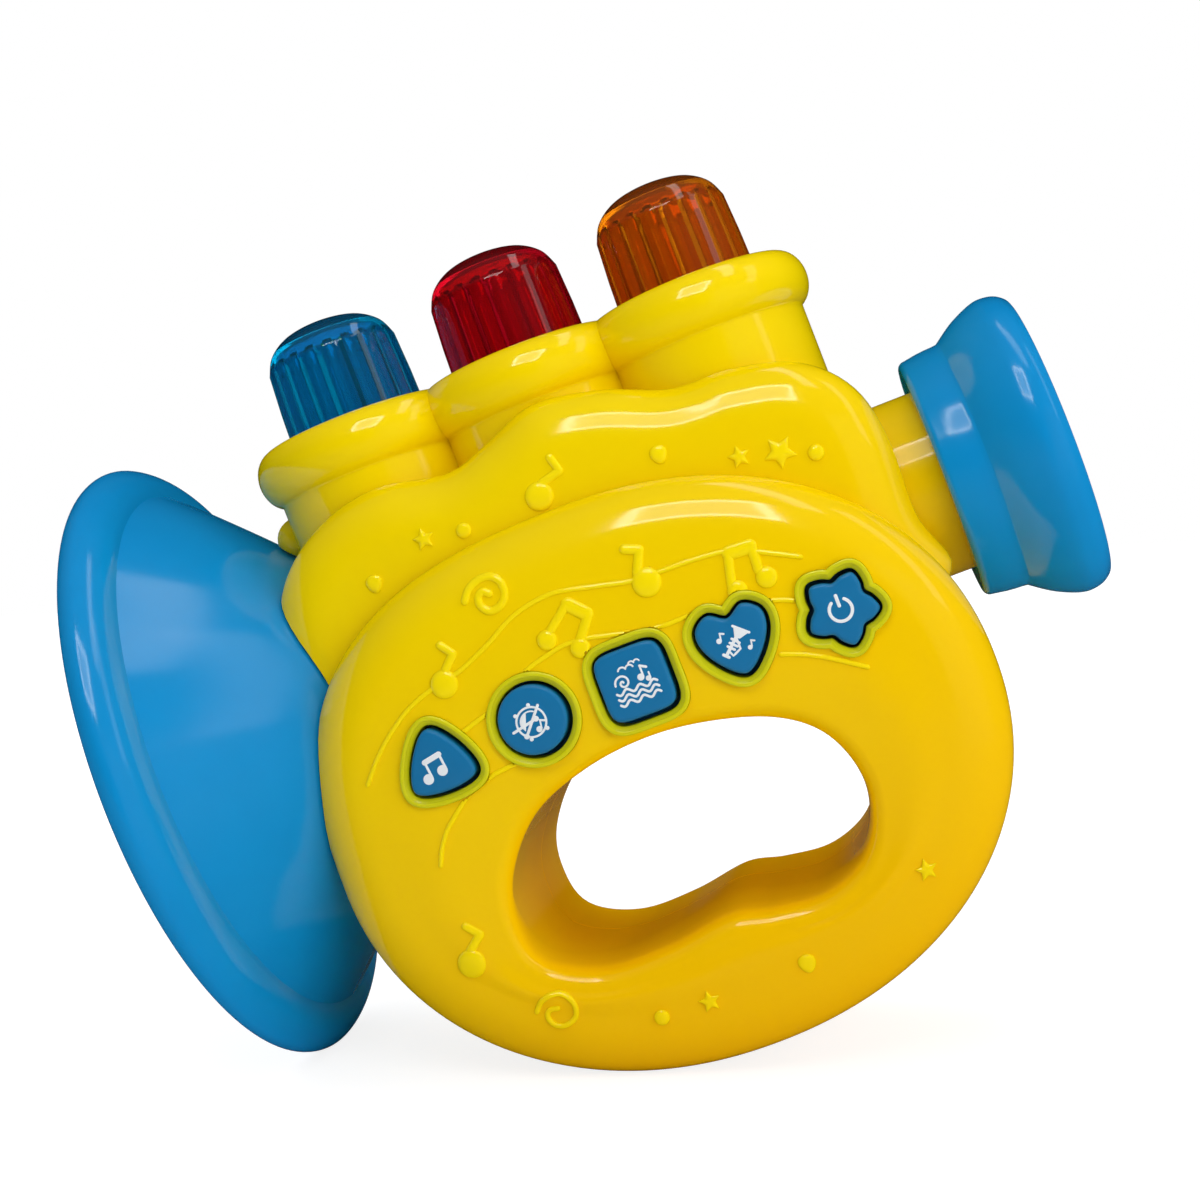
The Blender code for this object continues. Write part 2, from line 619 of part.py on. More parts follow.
def screw(name, x, z, head, thick, tip, shank):
    profile = (
        (0, head), (0.0026, head), (0.0026, head - thick), (shank, head - thick - 0.0001), (shank, tip + 0.0012),
        (0.0006, tip), (0, tip))
    solid(name, turned(profile, "Y", (x, 0, z), 8), STEEL)


screw("door_screw", *DOOR_SCREW, 0.0258, 0.0008, 0.0125, 0.0012)
for i, (x, z) in enumerate(SHELL_SCREWS):
    screw("shell_screw_%d" % (i + 1), x, z, 0.0110, 0.0016, -0.0080, 0.0011)

# Stance: the loop and the bell's lip stand on the same floor
outline = loop_outline(44)


def lean(angle):
    s = math.sin(angle)
    c = math.cos(angle)
    return min(x * s + z * c for x, z in outline) - min(x * s - radius * c for radius, x in lip)


low = math.radians(5)
high = math.radians(30)
for _ in range(40):
    middle = (low + high) / 2
    low, high = (middle, high) if lean(middle) < 0 else (low, middle)
stance.rotation_euler = (0, -low, 0)
bpy.context.view_layer.update()
corners = [
    obj.matrix_world @ vertex.co
    for obj in bpy.data.objects if obj.type == "MESH"
    for vertex in obj.data.vertices
]
stance.location = (
    -(min(p.x for p in corners) + max(p.x for p in corners)) / 2,
    -(min(p.y for p in corners) + max(p.y for p in corners)) / 2,
    -min(p.z for p in corners),
)
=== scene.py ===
"""Toy trumpet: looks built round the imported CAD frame, seen and lit as in the reference photograph."""

import math

import bmesh
import bpy
from mathutils import Matrix, Vector
from mathutils.bvhtree import BVHTree


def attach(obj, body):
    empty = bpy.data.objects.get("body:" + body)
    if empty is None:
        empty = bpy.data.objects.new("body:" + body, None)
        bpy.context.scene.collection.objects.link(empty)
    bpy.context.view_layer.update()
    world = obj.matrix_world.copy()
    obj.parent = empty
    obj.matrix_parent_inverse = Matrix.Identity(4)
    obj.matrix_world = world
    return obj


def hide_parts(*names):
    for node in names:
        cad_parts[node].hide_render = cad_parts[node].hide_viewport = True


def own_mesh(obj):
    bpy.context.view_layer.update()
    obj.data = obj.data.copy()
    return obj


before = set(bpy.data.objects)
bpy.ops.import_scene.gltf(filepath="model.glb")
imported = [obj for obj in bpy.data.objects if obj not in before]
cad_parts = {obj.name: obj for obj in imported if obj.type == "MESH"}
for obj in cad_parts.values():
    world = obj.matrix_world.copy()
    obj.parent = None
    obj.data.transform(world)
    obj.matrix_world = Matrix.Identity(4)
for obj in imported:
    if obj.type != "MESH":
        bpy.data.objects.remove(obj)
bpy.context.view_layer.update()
scene = bpy.context.scene

# Sizes in metres in the toy's own axes: X along the horn to the mouthpiece, Y to the back, Z up to the keys
LEAN = math.radians(17.255709781038604)
STANCE = Matrix.Translation((0.0032833926379680634, 0, 0.09013833850622177)) @ Matrix.Rotation(-LEAN, 4, "Y")
FAR = 0.2
WALL = 0.0022
GAP = 0.0003
TONGUE = 0.0009
RABBET_PLAY = 0.0001

# Loop and hand hole. Each edge is rounded over a width and a depth, and the hole's low edge is softer
LOOP_CENTRE = (0.0006, -0.0340)
LOOP_RIGHT = 0.0687
LOOP_LEFT = 0.0678
LOOP_HALF_HEIGHT = 0.0565
LOOP_ROUNDNESS = (2.12, 2.65, 2.05, 2.12)
LOOP_FRONT = -0.0400
LOOP_BACK = 0.0260
LOOP_EDGE = (0.0125, 0.0095)
BACK_EDGE = (0.0060, 0.0060)
HOLE_MIDDLE = (0.0015, -0.0455)
HOLE_EDGE = 0.0035
HOLE_LOW_EDGE = 0.4
HOLE_LOW_DEPTH = 0.0200
HOLE_DRAFT = 0.0012
HAND_HOLE = (
    (0.0010, -0.0255), (-0.0120, -0.0272), (-0.0240, -0.0320), (-0.0322, -0.0412), (-0.0345, -0.0500),
    (-0.0322, -0.0590), (-0.0220, -0.0640), (-0.0090, -0.0640), (0.0040, -0.0620), (0.0130, -0.0637),
    (0.0230, -0.0644), (0.0318, -0.0608), (0.0366, -0.0535), (0.0376, -0.0451), (0.0339, -0.0362),
    (0.0259, -0.0302), (0.0135, -0.0266),
)
FACE_CROWN = 0.0007
FACE_FALL = 1.5
FACE_RINGS = 8

# Lobed middle above the loop
MID_FRONT = -0.0300
MID_BACK = 0.0240
MID_EDGE = (0.0115, 0.0085)
MID_BACK_EDGE = (0.0050, 0.0050)
MID_OUTLINE = (
    (0.0020, 0.0441), (-0.0100, 0.0400), (-0.0195, 0.0376), (-0.0345, 0.0402), (-0.0480, 0.0372),
    (-0.0585, 0.0296), (-0.0640, 0.0185), (-0.0645, 0.0040), (-0.0640, -0.0120), (-0.0540, -0.0195),
    (0.0000, -0.0200), (0.0550, -0.0200), (0.0680, -0.0160), (0.0652, -0.0040), (0.0654, 0.0120),
    (0.0625, 0.0240), (0.0540, 0.0325), (0.0410, 0.0361), (0.0290, 0.0368), (0.0160, 0.0417),
)

# Valve keys, their springs and towers. The fillet under a rim is (out from the wall, below the rim)
KEYS = {"blue": -0.0380, "red": 0.0, "orange": 0.0380}
KEY_RADIUS = 0.0150
KEY_TOP = 0.0800
KEY_PLAY = 0.0006
KEY_FLANGE = 0.0174
FLUTES = 20
FLUTE_DEPTH = 0.0011
FLUTE_TURN = math.radians(4.3)
SCALLOP_LOW = 0.0722
SCALLOP_RISE = 0.0018
SCALLOP_EDGE = 0.0009
FLUTE_END = 0.0755
SPRING_LOW = 0.0303
SPRING_HIGH = 0.0489
SPRING_RADIUS = 0.0062
SPRING_WIRE = 0.0005
SPRING_TURNS = 6
TOWER_RADIUS = 0.0213
TOWER_FOOT = 0.0200
TOWER_HOLLOW_FOOT = 0.0140
RIM_RADIUS = 0.0244
RIM_TUBE = (0.0045, 0.0060)
RIM_HEIGHT = 0.0509
RIM_FILLET = ((0.0, 0.0061), (0.0001, 0.0057), (0.0003, 0.0055))
KEY_HOLE_EDGE = (0.0165, 0.0010)
DECK = 0.0562
DECK_UNDER = 0.0538
KEY_HOLE_TOP = 0.0700

# Horn tube, pipe stub, mouthpiece, bell and grille as (radius, place along the horn)
HORN_LIFT = 0.0006
TUBE_RADIUS = 0.0192
TUBE_START = 0.0430
TUBE_END = 0.0800
STUB_RADIUS = 0.0048
STUB_START = -0.0500
STUB_END = -0.0592
STUB_HEIGHT = 0.0384
COLLAR_START = 0.07265
COLLAR_EDGE = 0.0015
COLLAR_RADIUS = 0.0241
MOUTH_CUP = (
    (0.0008, 0.0856), (0.0090, 0.0859), (0.0160, 0.0877), (0.0206, 0.0908), (0.0250, 0.0955),
    (0.0288, 0.0976), (0.0307, 0.0965), (0.0317, 0.0941), (0.0316, 0.0909), (0.0295, 0.0860),
    (0.0264, 0.0815),
)
MOUTH_COLLAR = ((0.02628, 0.0804), (0.02622, 0.0788), (0.02605, 0.0770), (0.02578, 0.0753))
MOUTH_BORE = ((0.0196, COLLAR_START), (0.0196, 0.0828), (0.0008, 0.0828))
BELL_OUTSIDE = (
    (0.0200, -0.0440), (0.0200, -0.0470), (0.0304, -0.0568), (0.0405, -0.0664), (0.0499, -0.0760),
    (0.0582, -0.0848),
)
BELL_LIP = (
    (0.0582, -0.0848), (0.0602, -0.0850), (0.0628, -0.0860), (0.0650, -0.0879), (0.0664, -0.0903),
    (0.0661, -0.0925), (0.0646, -0.0940), (0.0618, -0.0947), (0.0585, -0.0947), (0.0556, -0.0945),
)
BELL_LIP_INSIDE = ((0.0556, -0.0945), (0.0545, -0.0936), (0.0535, -0.0900))
BELL_INSIDE = ((0.0530, -0.0826), (0.0380, -0.0677), (0.0300, -0.0602), (0.0178, -0.0485), (0.0178, -0.0440))
BELL_MOUTH = (0.0664, -0.0960)
BELL_PLAY = 0.0006
BELL_END_PLAY = 0.0004
THROAT_RADIUS = 0.0172
THROAT = (-0.0460, -0.0380)
GRILLE = ((0.0170, -0.0474), (0.0175, -0.0471), (0.0175, -0.0456))
GRILLE_HOLE = 0.0030
GRILLE_CIRCLE = 0.0105
GRILLE_CUT = (-0.0490, -0.0440)

# Sound buttons and bezels. Each button rests a little to one side of its opening, by its play
BUTTON_TOP = -0.0420
BUTTON_SWELL = -0.0001
BUTTON_EDGE = 0.0008
BUTTON_CROWN = 0.00012
BUTTON_LIFT = 0.00005
BUTTON_FOOT = 0.0008
BUTTON_FOOT_HEIGHT = 0.0013
BUTTON_RADIUS = 0.0069
BEZEL_TOP = -0.0412
BEZEL_BOTTOM = -0.0345
BEZEL_GAP = 0.0006
BEZEL_WIDTH = 0.0016
BEZEL_FLANGE = 0.0002
BEZEL_DISH = 0.0005
BEZEL_SLOPE = 0.0008
BEZEL_RIDGE = 0.0003
OPENING_PLAY = 0.00004
OPENING_CUT = (-0.0600, -0.0300)
BUTTONS = {
    "triangle": (-0.0372, -0.0162),
    "circle": (-0.0168, -0.0145),
    "square": (0.0043, -0.0146),
    "heart": (0.0248, -0.0140),
    "star": (0.0454, -0.0152),
}
BUTTON_PLAY = {
    "triangle": (-0.00020, 0.00005),
    "circle": (-0.00018, 0.00012),
    "square": (-0.00012, 0.00018),
    "heart": (0.0, 0.00015),
    "star": (0.00015, -0.00012),
}

# Battery compartment and screws in the back
DOOR = (-0.0300, 0.0395, -0.0155, 0.0180)
DOOR_SCREW = (0.0345, 0.0014)
DOOR_SEAT = 0.0236
DOOR_CORNER = 0.0030
DOOR_EDGE = 0.0008
DOOR_BORE = 0.0019
DOOR_HEAD = 0.0033
DOOR_HEAD_SEAT = 0.0247
DOOR_BOSS = 0.0036
DOOR_BOSS_DEPTH = (0.0110, 0.0220)
DOOR_PILOT = 0.0016
TUB_WALL = 0.0018
TUB_DEPTH = (0.0032, 0.0246)
CELL_WELL = (-0.0276, 0.0276, 0.0052, 0.0300, -0.0140, 0.0168)
SCREW_WELL = (0.0300, 0.0391, -0.0100, 0.0212, -0.0151, 0.0176)
SHELL_SCREWS = ((-0.0510, -0.0460), (0.0540, -0.0460), (-0.0190, 0.0236), (0.0190, 0.0236))
FRONT_POST = 0.0034
FRONT_POST_STOP = 0.0016
BACK_POST = 0.0040
BACK_POST_STOP = 0.0012
SCREW_PILOT = 0.0014
PILOT_CUT = (-0.0150, 0.0100)
SCREW_BORE = 0.0017
SCREW_HEAD = 0.0031
SCREW_HEAD_SEAT = 0.0090


# Meshes
FIRST_CORNER = 0.37


def solid(name, shape):
    """A mesh object from (points, faces) with its faces turned out."""
    mesh = bpy.data.meshes.new(name)
    mesh.from_pydata(shape[0], [], shape[1])
    work = bmesh.new()
    work.from_mesh(mesh)
    bmesh.ops.recalc_face_normals(work, faces=work.faces)
    work.to_mesh(mesh)
    work.free()
    obj = bpy.data.objects.new(name, mesh)
    scene.collection.objects.link(obj)
    return obj


def combine(obj, others, operation):
    """Applies one Boolean for each other object in turn, and removes those objects."""
    for other in others:
        cut = obj.modifiers.new(operation.lower(), "BOOLEAN")
        cut.operation = operation
        cut.solver = "MANIFOLD"
        cut.object = other
    bpy.context.view_layer.update()
    graph = bpy.context.evaluated_depsgraph_get()
    mesh = bpy.data.meshes.new_from_object(obj.evaluated_get(graph))
    obj.modifiers.clear()
    obj.data = mesh
    for other in others:
        bpy.data.objects.remove(other)
    return obj


def copy_of(obj, name):
    """A second object with a mesh of its own."""
    twin = bpy.data.objects.new(name, obj.data.copy())
    scene.collection.objects.link(twin)
    return twin


def main_part(obj):
    """Drops the slivers that a Boolean can leave beside a piece."""
    work = bmesh.new()
    work.from_mesh(obj.data)
    left = set(work.verts)
    parts = []
    while left:
        part = [left.pop()]
        for vert in part:
            for edge in vert.link_edges:
                other = edge.other_vert(vert)
                if other in left:
                    left.remove(other)
                    part.append(other)
        parts.append(part)
    for part in sorted(parts, key=len)[:-1]:
        bmesh.ops.delete(work, geom=part, context="VERTS")
    work.to_mesh(obj.data)
    work.free()
    return obj


def loft(rings, caps=True):
    """Skin over rings of equal length; without caps the last ring joins the first."""
    n = len(rings[0])
    m = len(rings)
    points = [p for ring in rings for p in ring]
    faces = []
    for j in range(m - 1 if caps else m):
        a = j * n
        b = (j + 1) % m * n
        for i in range(n):
            k = (i + 1) % n
            faces.append((a + i, a + k, b + k, b + i))
    if caps:
        faces.append(tuple(range(n)))
        faces.append(tuple(range((m - 1) * n, m * n)))
    return points, faces


def turned(profile, axis, centre, steps=96, caps=True):
    """Turns (radius, place along axis) points round an axis; with caps both ends are closed flat.

    The first corner is off the planes of the axes, so that none falls on the parting plane.
    """
    rings = []
    for radius, along in profile:
        ring = []
        for step in range(steps):
            angle = 2 * math.pi * (step + FIRST_CORNER) / steps
            a = radius * math.cos(angle)
            b = radius * math.sin(angle)
            place = {"X": (along, a, b), "Y": (a, along, b), "Z": (a, b, along)}[axis]
            ring.append(tuple(p + c for p, c in zip(place, centre)))
        rings.append(ring)
    return loft(rings, caps)


def rod(radius, start, end, axis, centre, steps=64):
    """A round bar from one place along an axis to another."""
    return turned([(radius, start), (radius, end)], axis, centre, steps)


def box(x0, x1, y0, y1, z0, z1):
    """A block between two places along each axis."""
    return loft([[(x0, y, z0), (x1, y, z0), (x1, y, z1), (x0, y, z1)] for y in (y0, y1)])


def spline(points, closed, each=12):
    """A curve through the points with a number of steps for each stretch."""
    count = len(points)
    out = []
    for i in range(count if closed else count - 1):
        if closed:
            four = [points[(i + k) % count] for k in (-1, 0, 1, 2)]
        else:
            four = [points[min(max(i + k, 0), count - 1)] for k in (-1, 0, 1, 2)]
        for step in range(each):
            t = step / each
            out.append(tuple(
                0.5 * (
                    2 * b + (c - a) * t + (2 * a - 5 * b + 4 * c - d) * t**2 + (3 * b - a - 3 * c + d) * t**3
                ) for a, b, c, d in zip(*four)
            ))
    if not closed:
        out.append(tuple(points[-1]))
    return out


def spaced(points, n):
    """n points at even spacing along a closed outline."""
    lengths = [0.0]
    for a, b in zip(points, points[1:] + points[:1]):
        lengths.append(lengths[-1] + math.dist(a, b))
    out = []
    j = 0
    for i in range(n):
        target = lengths[-1] * i / n
        while lengths[j + 1] < target:
            j += 1
        t = (target - lengths[j]) / (lengths[j + 1] - lengths[j])
        a = points[j]
        b = points[(j + 1) % len(points)]
        out.append((a[0] + (b[0] - a[0]) * t, a[1] + (b[1] - a[1]) * t))
    return out


def by_angle(points, middle, n):
    """n points of a closed outline at even angles round a middle that sees all of it."""
    whole = 2 * math.pi
    polar = sorted(
        (math.atan2(z - middle[1], x - middle[0]) % whole, math.dist((x, z), middle)) for x, z in points
    )
    polar = [(polar[-1][0] - whole, polar[-1][1])] + polar + [(polar[0][0] + whole, polar[0][1])]
    out = []
    j = 0
    for i in range(n):
        angle = 2 * math.pi * i / n
        while polar[j + 1][0] < angle:
            j += 1
        t = (angle - polar[j][0]) / (polar[j + 1][0] - polar[j][0])
        radius = polar[j][1] + (polar[j + 1][1] - polar[j][1]) * t
        out.append((middle[0] + radius * math.cos(angle), middle[1] + radius * math.sin(angle)))
    return out


def offset(outline, distance):
    """The closed outline moved outwards by a distance along its normals, inwards when negative."""
    n = len(outline)
    area = sum(a[0] * b[1] - b[0] * a[1] for a, b in zip(outline, outline[1:] + outline[:1]))
    sign = 1 if area > 0 else -1
    out = []
    for i in range(n):
        a = outline[i - 1]
        b = outline[(i + 1) % n]
        length = math.dist(a, b)
        out.append((
            outline[i][0] + sign * distance * (b[1] - a[1]) / length,
            outline[i][1] - sign * distance * (b[0] - a[0]) / length,
        ))
    return out


def mm(*pairs):
    """Places in millimetres as places in metres."""
    return [(x / 1000, z / 1000) for x, z in pairs]


def flat(outline, y):
    """An (x, z) outline as points at one depth."""
    return [(x, y, z) for x, z in outline]


def edge_steps(face, edge, count, grow=0.0):
    """(y, inset) pairs of a rounded edge, from the side wall to the face; grow moves the edge inwards."""
    wide, deep = edge
    way = 1 if face > 0 else -1
    steps = []
    for i in range(count + 1):
        angle = math.pi / 2 * i / count
        y = abs(face) - grow - deep * (1 - math.sin(angle))
        steps.append((way * y, wide * (1 - math.cos(angle)) + grow))
    return steps


# Half shells
def loop_outline(n):
    """The loop's outside as four quarters of differing roundness, at even angles round the hole's middle."""
    points = []
    count = 720
    for i in range(count):
        angle = 2 * math.pi * i / count
        c = math.cos(angle)
        s = math.sin(angle)
        power = 2 / LOOP_ROUNDNESS[int(angle // (math.pi / 2))]
        half = LOOP_RIGHT if c > 0 else LOOP_LEFT
        points.append((
            LOOP_CENTRE[0] + half * math.copysign(abs(c) ** power, c),
            LOOP_CENTRE[1] + LOOP_HALF_HEIGHT * math.copysign(abs(s) ** power, s),
        ))
    return by_angle(points, HOLE_MIDDLE, n)


def loop_solid(grow):
    """The loop with its hand hole as one ring, its front face slightly crowned.

    A wall's thickness to grow by gives the hollow inside, which is coarser.
    """
    stations = 72 if grow else 180
    steps = 3 if grow else 10
    outer = loop_outline(stations)
    hole = by_angle(spline(HAND_HOLE, True, 24), HOLE_MIDDLE, stations)
    front = edge_steps(LOOP_FRONT, LOOP_EDGE, steps, grow)
    back = edge_steps(LOOP_BACK, BACK_EDGE, steps, grow)
    hole_edge = (HOLE_EDGE, HOLE_EDGE)
    hole_front = edge_steps(LOOP_FRONT, hole_edge, steps, grow)
    hole_back = [(y, inset + HOLE_DRAFT) for y, inset in edge_steps(LOOP_BACK, hole_edge, steps, grow)]
    wider = offset(hole, HOLE_EDGE)
    outwards = [((a[0] - b[0]) / HOLE_EDGE, (a[1] - b[1]) / HOLE_EDGE) for a, b in zip(wider, hole)]
    rings = [flat(offset(outer, -inset), y) for y, inset in back[::-1] + front]
    inner = []
    for y, inset in hole_front[::-1]:
        ring = []
        for i, (point, way) in enumerate(zip(hole, outwards)):
            low = max(0, -math.sin(2 * math.pi * i / stations))
            soft = 1 + HOLE_LOW_EDGE * low
            out = grow + (inset - grow) * soft
            share = max(0, y - LOOP_FRONT - grow) / HOLE_EDGE
            down = LOOP_FRONT + grow + HOLE_EDGE * soft * share + HOLE_LOW_DEPTH * low * share**3
            ring.append((point[0] + way[0] * out, down, point[1] + way[1] * out))
        inner.append(ring)
    inner += [flat(offset(hole, inset), y) for y, inset in hole_back]
    if not grow:
        near = rings[-1]
        far = inner[0]
        for step in range(1, FACE_RINGS):
            t = step / FACE_RINGS
            y = LOOP_FRONT - FACE_CROWN * math.sin(math.pi * t) ** FACE_FALL
            rings.append([(a[0] + (b[0] - a[0]) * t, y, a[2] + (b[2] - a[2]) * t) for a, b in zip(near, far)])
    return loft(rings + inner, caps=False)


def plate(outline, front, back):
    """A flat body on an outline, with rounded edges in front and behind."""
    return loft([flat(offset(outline, -inset), y) for y, inset in back[::-1] + front])


def rim_profile():
    """Tower wall, a small fillet, and the rim's oval section over to the key hole."""
    wide, high = RIM_TUBE
    points = [(TOWER_RADIUS, TOWER_FOOT)]
    points += [(TOWER_RADIUS + out, RIM_HEIGHT - below) for out, below in RIM_FILLET]
    for degrees in (*range(-62, 91, 8), 104, 118, 132):
        angle = math.radians(degrees)
        points.append((RIM_RADIUS - wide + wide * math.cos(angle), RIM_HEIGHT + high * math.sin(angle)))
    return points + [(KEY_HOLE_EDGE[0], DECK - KEY_HOLE_EDGE[1])]


def body_solid(grow):
    """Loop, lobed middle, towers and horn tube as one solid, or the hollow inside it."""
    body = solid("body", loop_solid(grow))
    middle = spaced(spline(MID_OUTLINE, True, 24), 72 if grow else 180)
    steps = 3 if grow else 9
    front_edge = edge_steps(MID_FRONT, MID_EDGE, steps, grow)
    back_edge = edge_steps(MID_BACK, MID_BACK_EDGE, steps, grow)
    others = [solid("middle", plate(middle, front_edge, back_edge))]
    for x in KEYS.values():
        if grow:
            shape = rod(TOWER_RADIUS - grow, TOWER_HOLLOW_FOOT, DECK_UNDER, "Z", (x, 0, 0))
        else:
            shape = turned(rim_profile(), "Z", (x, 0, 0), 96)
        others.append(solid("tower", shape))
    through = 0.0050 if grow else 0.0
    tube = rod(TUBE_RADIUS - grow, TUBE_START, TUBE_END + through, "X", (0, 0, HORN_LIFT), 96)
    others.append(solid("tube", tube))
    return combine(body, others, "UNION")


def bell_room(more_radius, more_length):
    """The space that the bell's outside takes, enlarged."""
    profile = [(radius + more_radius, x + more_length) for radius, x in BELL_OUTSIDE]
    return turned(profile + [BELL_MOUTH], "X", (0, 0, 0), 96)


def stub():
    """Rounded pipe end beside the first tower, over the bell."""
    profile = [(STUB_RADIUS, STUB_START), (STUB_RADIUS, STUB_END)]
    for degrees in range(10, 90, 10):
        angle = math.radians(degrees)
        profile.append((STUB_RADIUS * math.cos(angle), STUB_END - STUB_RADIUS * math.sin(angle)))
    return turned(profile, "X", (0, 0, STUB_HEIGHT), 48)


def rounded_box(x0, x1, z0, z1, radius):
    """The outline of a rectangle with round corners."""
    points = []
    for x, z, start in (
        (x1 - radius, z1 - radius, 0), (x0 + radius, z1 - radius, 90),
        (x0 + radius, z0 + radius, 180), (x1 - radius, z0 + radius, 270),
    ):
        for turn in range(0, 91, 10):
            angle = math.radians(start + turn)
            points.append((x + radius * math.cos(angle), z + radius * math.sin(angle)))
    return points


def triangle():
    """Three round corners with full sides between them."""
    reach = (0.0074, 0.0054) * 3
    angles = (0.0, 1.047, 2.094, 3.142, 4.189, 5.236)
    corners = [(radius * math.sin(a), radius * math.cos(a)) for radius, a in zip(reach, angles)]
    return spline(corners, True, 24)


def star():
    """Five round points, each a little broader than a plain star's."""
    reach = (0.0072, 0.0062, 0.0052, 0.0062) * 5
    angles = (math.pi * i / 10 for i in range(20))
    corners = [(radius * math.sin(a), -radius * math.cos(a)) for radius, a in zip(reach, angles)]
    return spline(corners, True, 12)


def heart():
    """A full heart with a shallow notch, mirrored from its right half."""
    half = mm((0, 4.6), (3.5, 6.3), (6.6, 4.2), (6.6, 0.4), (3.8, -4.0), (0, -6.6))
    return spline(half + [(-x, z) for x, z in half[-2:0:-1]], True, 24)


def square():
    """A square with round corners and slightly full sides."""
    power = 0.4
    return [tuple(BUTTON_RADIUS * math.copysign(abs(c) ** power, c) for c in p) for p in circle(1.0)]


def circle(radius=BUTTON_RADIUS, n=240):
    """A round outline."""
    angles = (2 * math.pi * i / n for i in range(n))
    return [(radius * math.cos(a), radius * math.sin(a)) for a in angles]


BUTTON_OUTLINES = {"triangle": triangle, "circle": circle, "square": square, "heart": heart, "star": star}


def button_ring(name, distance, n=144):
    """A button's outline moved outwards by a distance, at its place on the front.

    Points that come too near another stretch of the outline are left out, so that hollows close up cleanly.
    """
    near = 0.97
    shape = spaced(BUTTON_OUTLINES[name](), 240)
    moved = offset(shape, distance)
    if distance > 0:
        moved = [p for p in moved if min(math.dist(p, q) for q in shape) > near * distance]
    x, z = BUTTONS[name]
    return [(x + u, z + v) for u, v in by_angle(moved, (0, 0), n)]


def bell_seat(wall):
    """What the shell leaves free for the bell, with a wall round it for the hollow."""
    return solid("seat", bell_room(BELL_PLAY + wall, BELL_END_PLAY + wall))


def tongue_room(inset, depth):
    """The room inside the middle of the wall, as far back as the tongue along the front half reaches."""
    behind = solid("behind", box(-FAR, FAR, depth, FAR, -FAR, FAR))
    return combine(body_solid(inset), [bell_seat(inset), behind], "DIFFERENCE")


outside = combine(body_solid(0.0), [solid("stub", stub())], "UNION")
outside = combine(outside, [bell_seat(0.0)], "DIFFERENCE")
hollow = combine(body_solid(WALL), [bell_seat(WALL)], "DIFFERENCE")
shell = combine(outside, [hollow], "DIFFERENCE")
cutters = [solid("throat", rod(THROAT_RADIUS, *THROAT, "X", (0, 0, 0)))]
for x in KEYS.values():
    key_hole = rod(KEY_RADIUS + KEY_PLAY, DECK_UNDER - 0.0048, KEY_HOLE_TOP, "Z", (x, 0, 0), 96)
    cutters.append(solid("key hole", key_hole))
shell = combine(shell, cutters, "DIFFERENCE")

front = copy_of(shell, "front_shell_moulding")
half = solid("back half", box(-FAR, FAR, -GAP / 2, FAR, -FAR, FAR))
front = combine(front, [combine(half, [tongue_room(WALL / 2, TONGUE)], "DIFFERENCE")], "DIFFERENCE")
posts = []
cutters = []
for x, z in SHELL_SCREWS:
    stop = (LOOP_FRONT if z < 0 else MID_FRONT) + FRONT_POST_STOP
    posts.append(solid("post", rod(FRONT_POST, stop, -GAP, "Y", (x, 0, z), 32)))
    cutters.append(solid("pilot", rod(SCREW_PILOT, *PILOT_CUT, "Y", (x, 0, z), 24)))
front = combine(front, posts, "UNION")
for name in BUTTONS:
    opening = button_ring(name, BEZEL_GAP + BEZEL_WIDTH + BEZEL_FLANGE + OPENING_PLAY)
    cutters.append(solid("opening", loft([flat(opening, y) for y in OPENING_CUT])))
front = main_part(combine(front, cutters, "DIFFERENCE"))

# The back half: a rabbet for the tongue, screw posts, and the battery tub with its cell and screw wells
BACK_CUT = 0.0400
half = solid("front half", box(-FAR, FAR, -FAR, GAP / 2, -FAR, FAR))
back = combine(shell, [half, tongue_room(WALL / 2 - RABBET_PLAY, TONGUE + GAP)], "DIFFERENCE")
back.name = "back_shell_moulding"
left, right, low, high = DOOR
tub = box(left - TUB_WALL, right + TUB_WALL, *TUB_DEPTH, low - TUB_WALL, high + TUB_WALL)
recess = rounded_box(*DOOR, DOOR_CORNER)
posts = []
cutters = [
    solid("cell well", box(*CELL_WELL)),
    solid("screw well", box(*SCREW_WELL)),
    solid("recess", loft([flat(offset(recess, GAP), y) for y in (DOOR_SEAT, 0.0300)])),
]
for x, z in SHELL_SCREWS:
    stop = (LOOP_BACK if z < 0 else MID_BACK) - BACK_POST_STOP
    posts.append(solid("post", rod(BACK_POST, GAP, stop, "Y", (x, 0, z), 32)))
    cutters.append(solid("bore", rod(SCREW_BORE, -0.0100, BACK_CUT, "Y", (x, 0, z), 24)))
    cutters.append(solid("counterbore", rod(SCREW_HEAD, SCREW_HEAD_SEAT, BACK_CUT, "Y", (x, 0, z), 32)))
back = combine(back, posts + [solid("tub", tub)], "UNION")
back = combine(back, cutters, "DIFFERENCE")
place = (DOOR_SCREW[0], 0, DOOR_SCREW[1])
back = combine(back, [solid("boss", rod(DOOR_BOSS, *DOOR_BOSS_DEPTH, "Y", place, 32))], "UNION")
pilot = solid("pilot", rod(DOOR_PILOT, 0.0060, BACK_CUT, "Y", place, 24))
back = main_part(combine(back, [pilot], "DIFFERENCE"))

lid_edge = [(DOOR_SEAT + GAP, 0.0), (LOOP_BACK - DOOR_EDGE, 0.0)]
for degrees in range(15, 91, 15):
    angle = math.radians(degrees)
    lid_edge.append((LOOP_BACK - DOOR_EDGE * (1 - math.sin(angle)), DOOR_EDGE * (1 - math.cos(angle))))
lid = solid("battery_lid", loft([flat(offset(recess, -inset), y) for y, inset in lid_edge]))
lid = combine(lid, [
    solid("bore", rod(DOOR_BORE, 0.0200, BACK_CUT, "Y", place, 32)),
    solid("head", rod(DOOR_HEAD, DOOR_HEAD_SEAT, BACK_CUT, "Y", place, 48)),
], "DIFFERENCE")


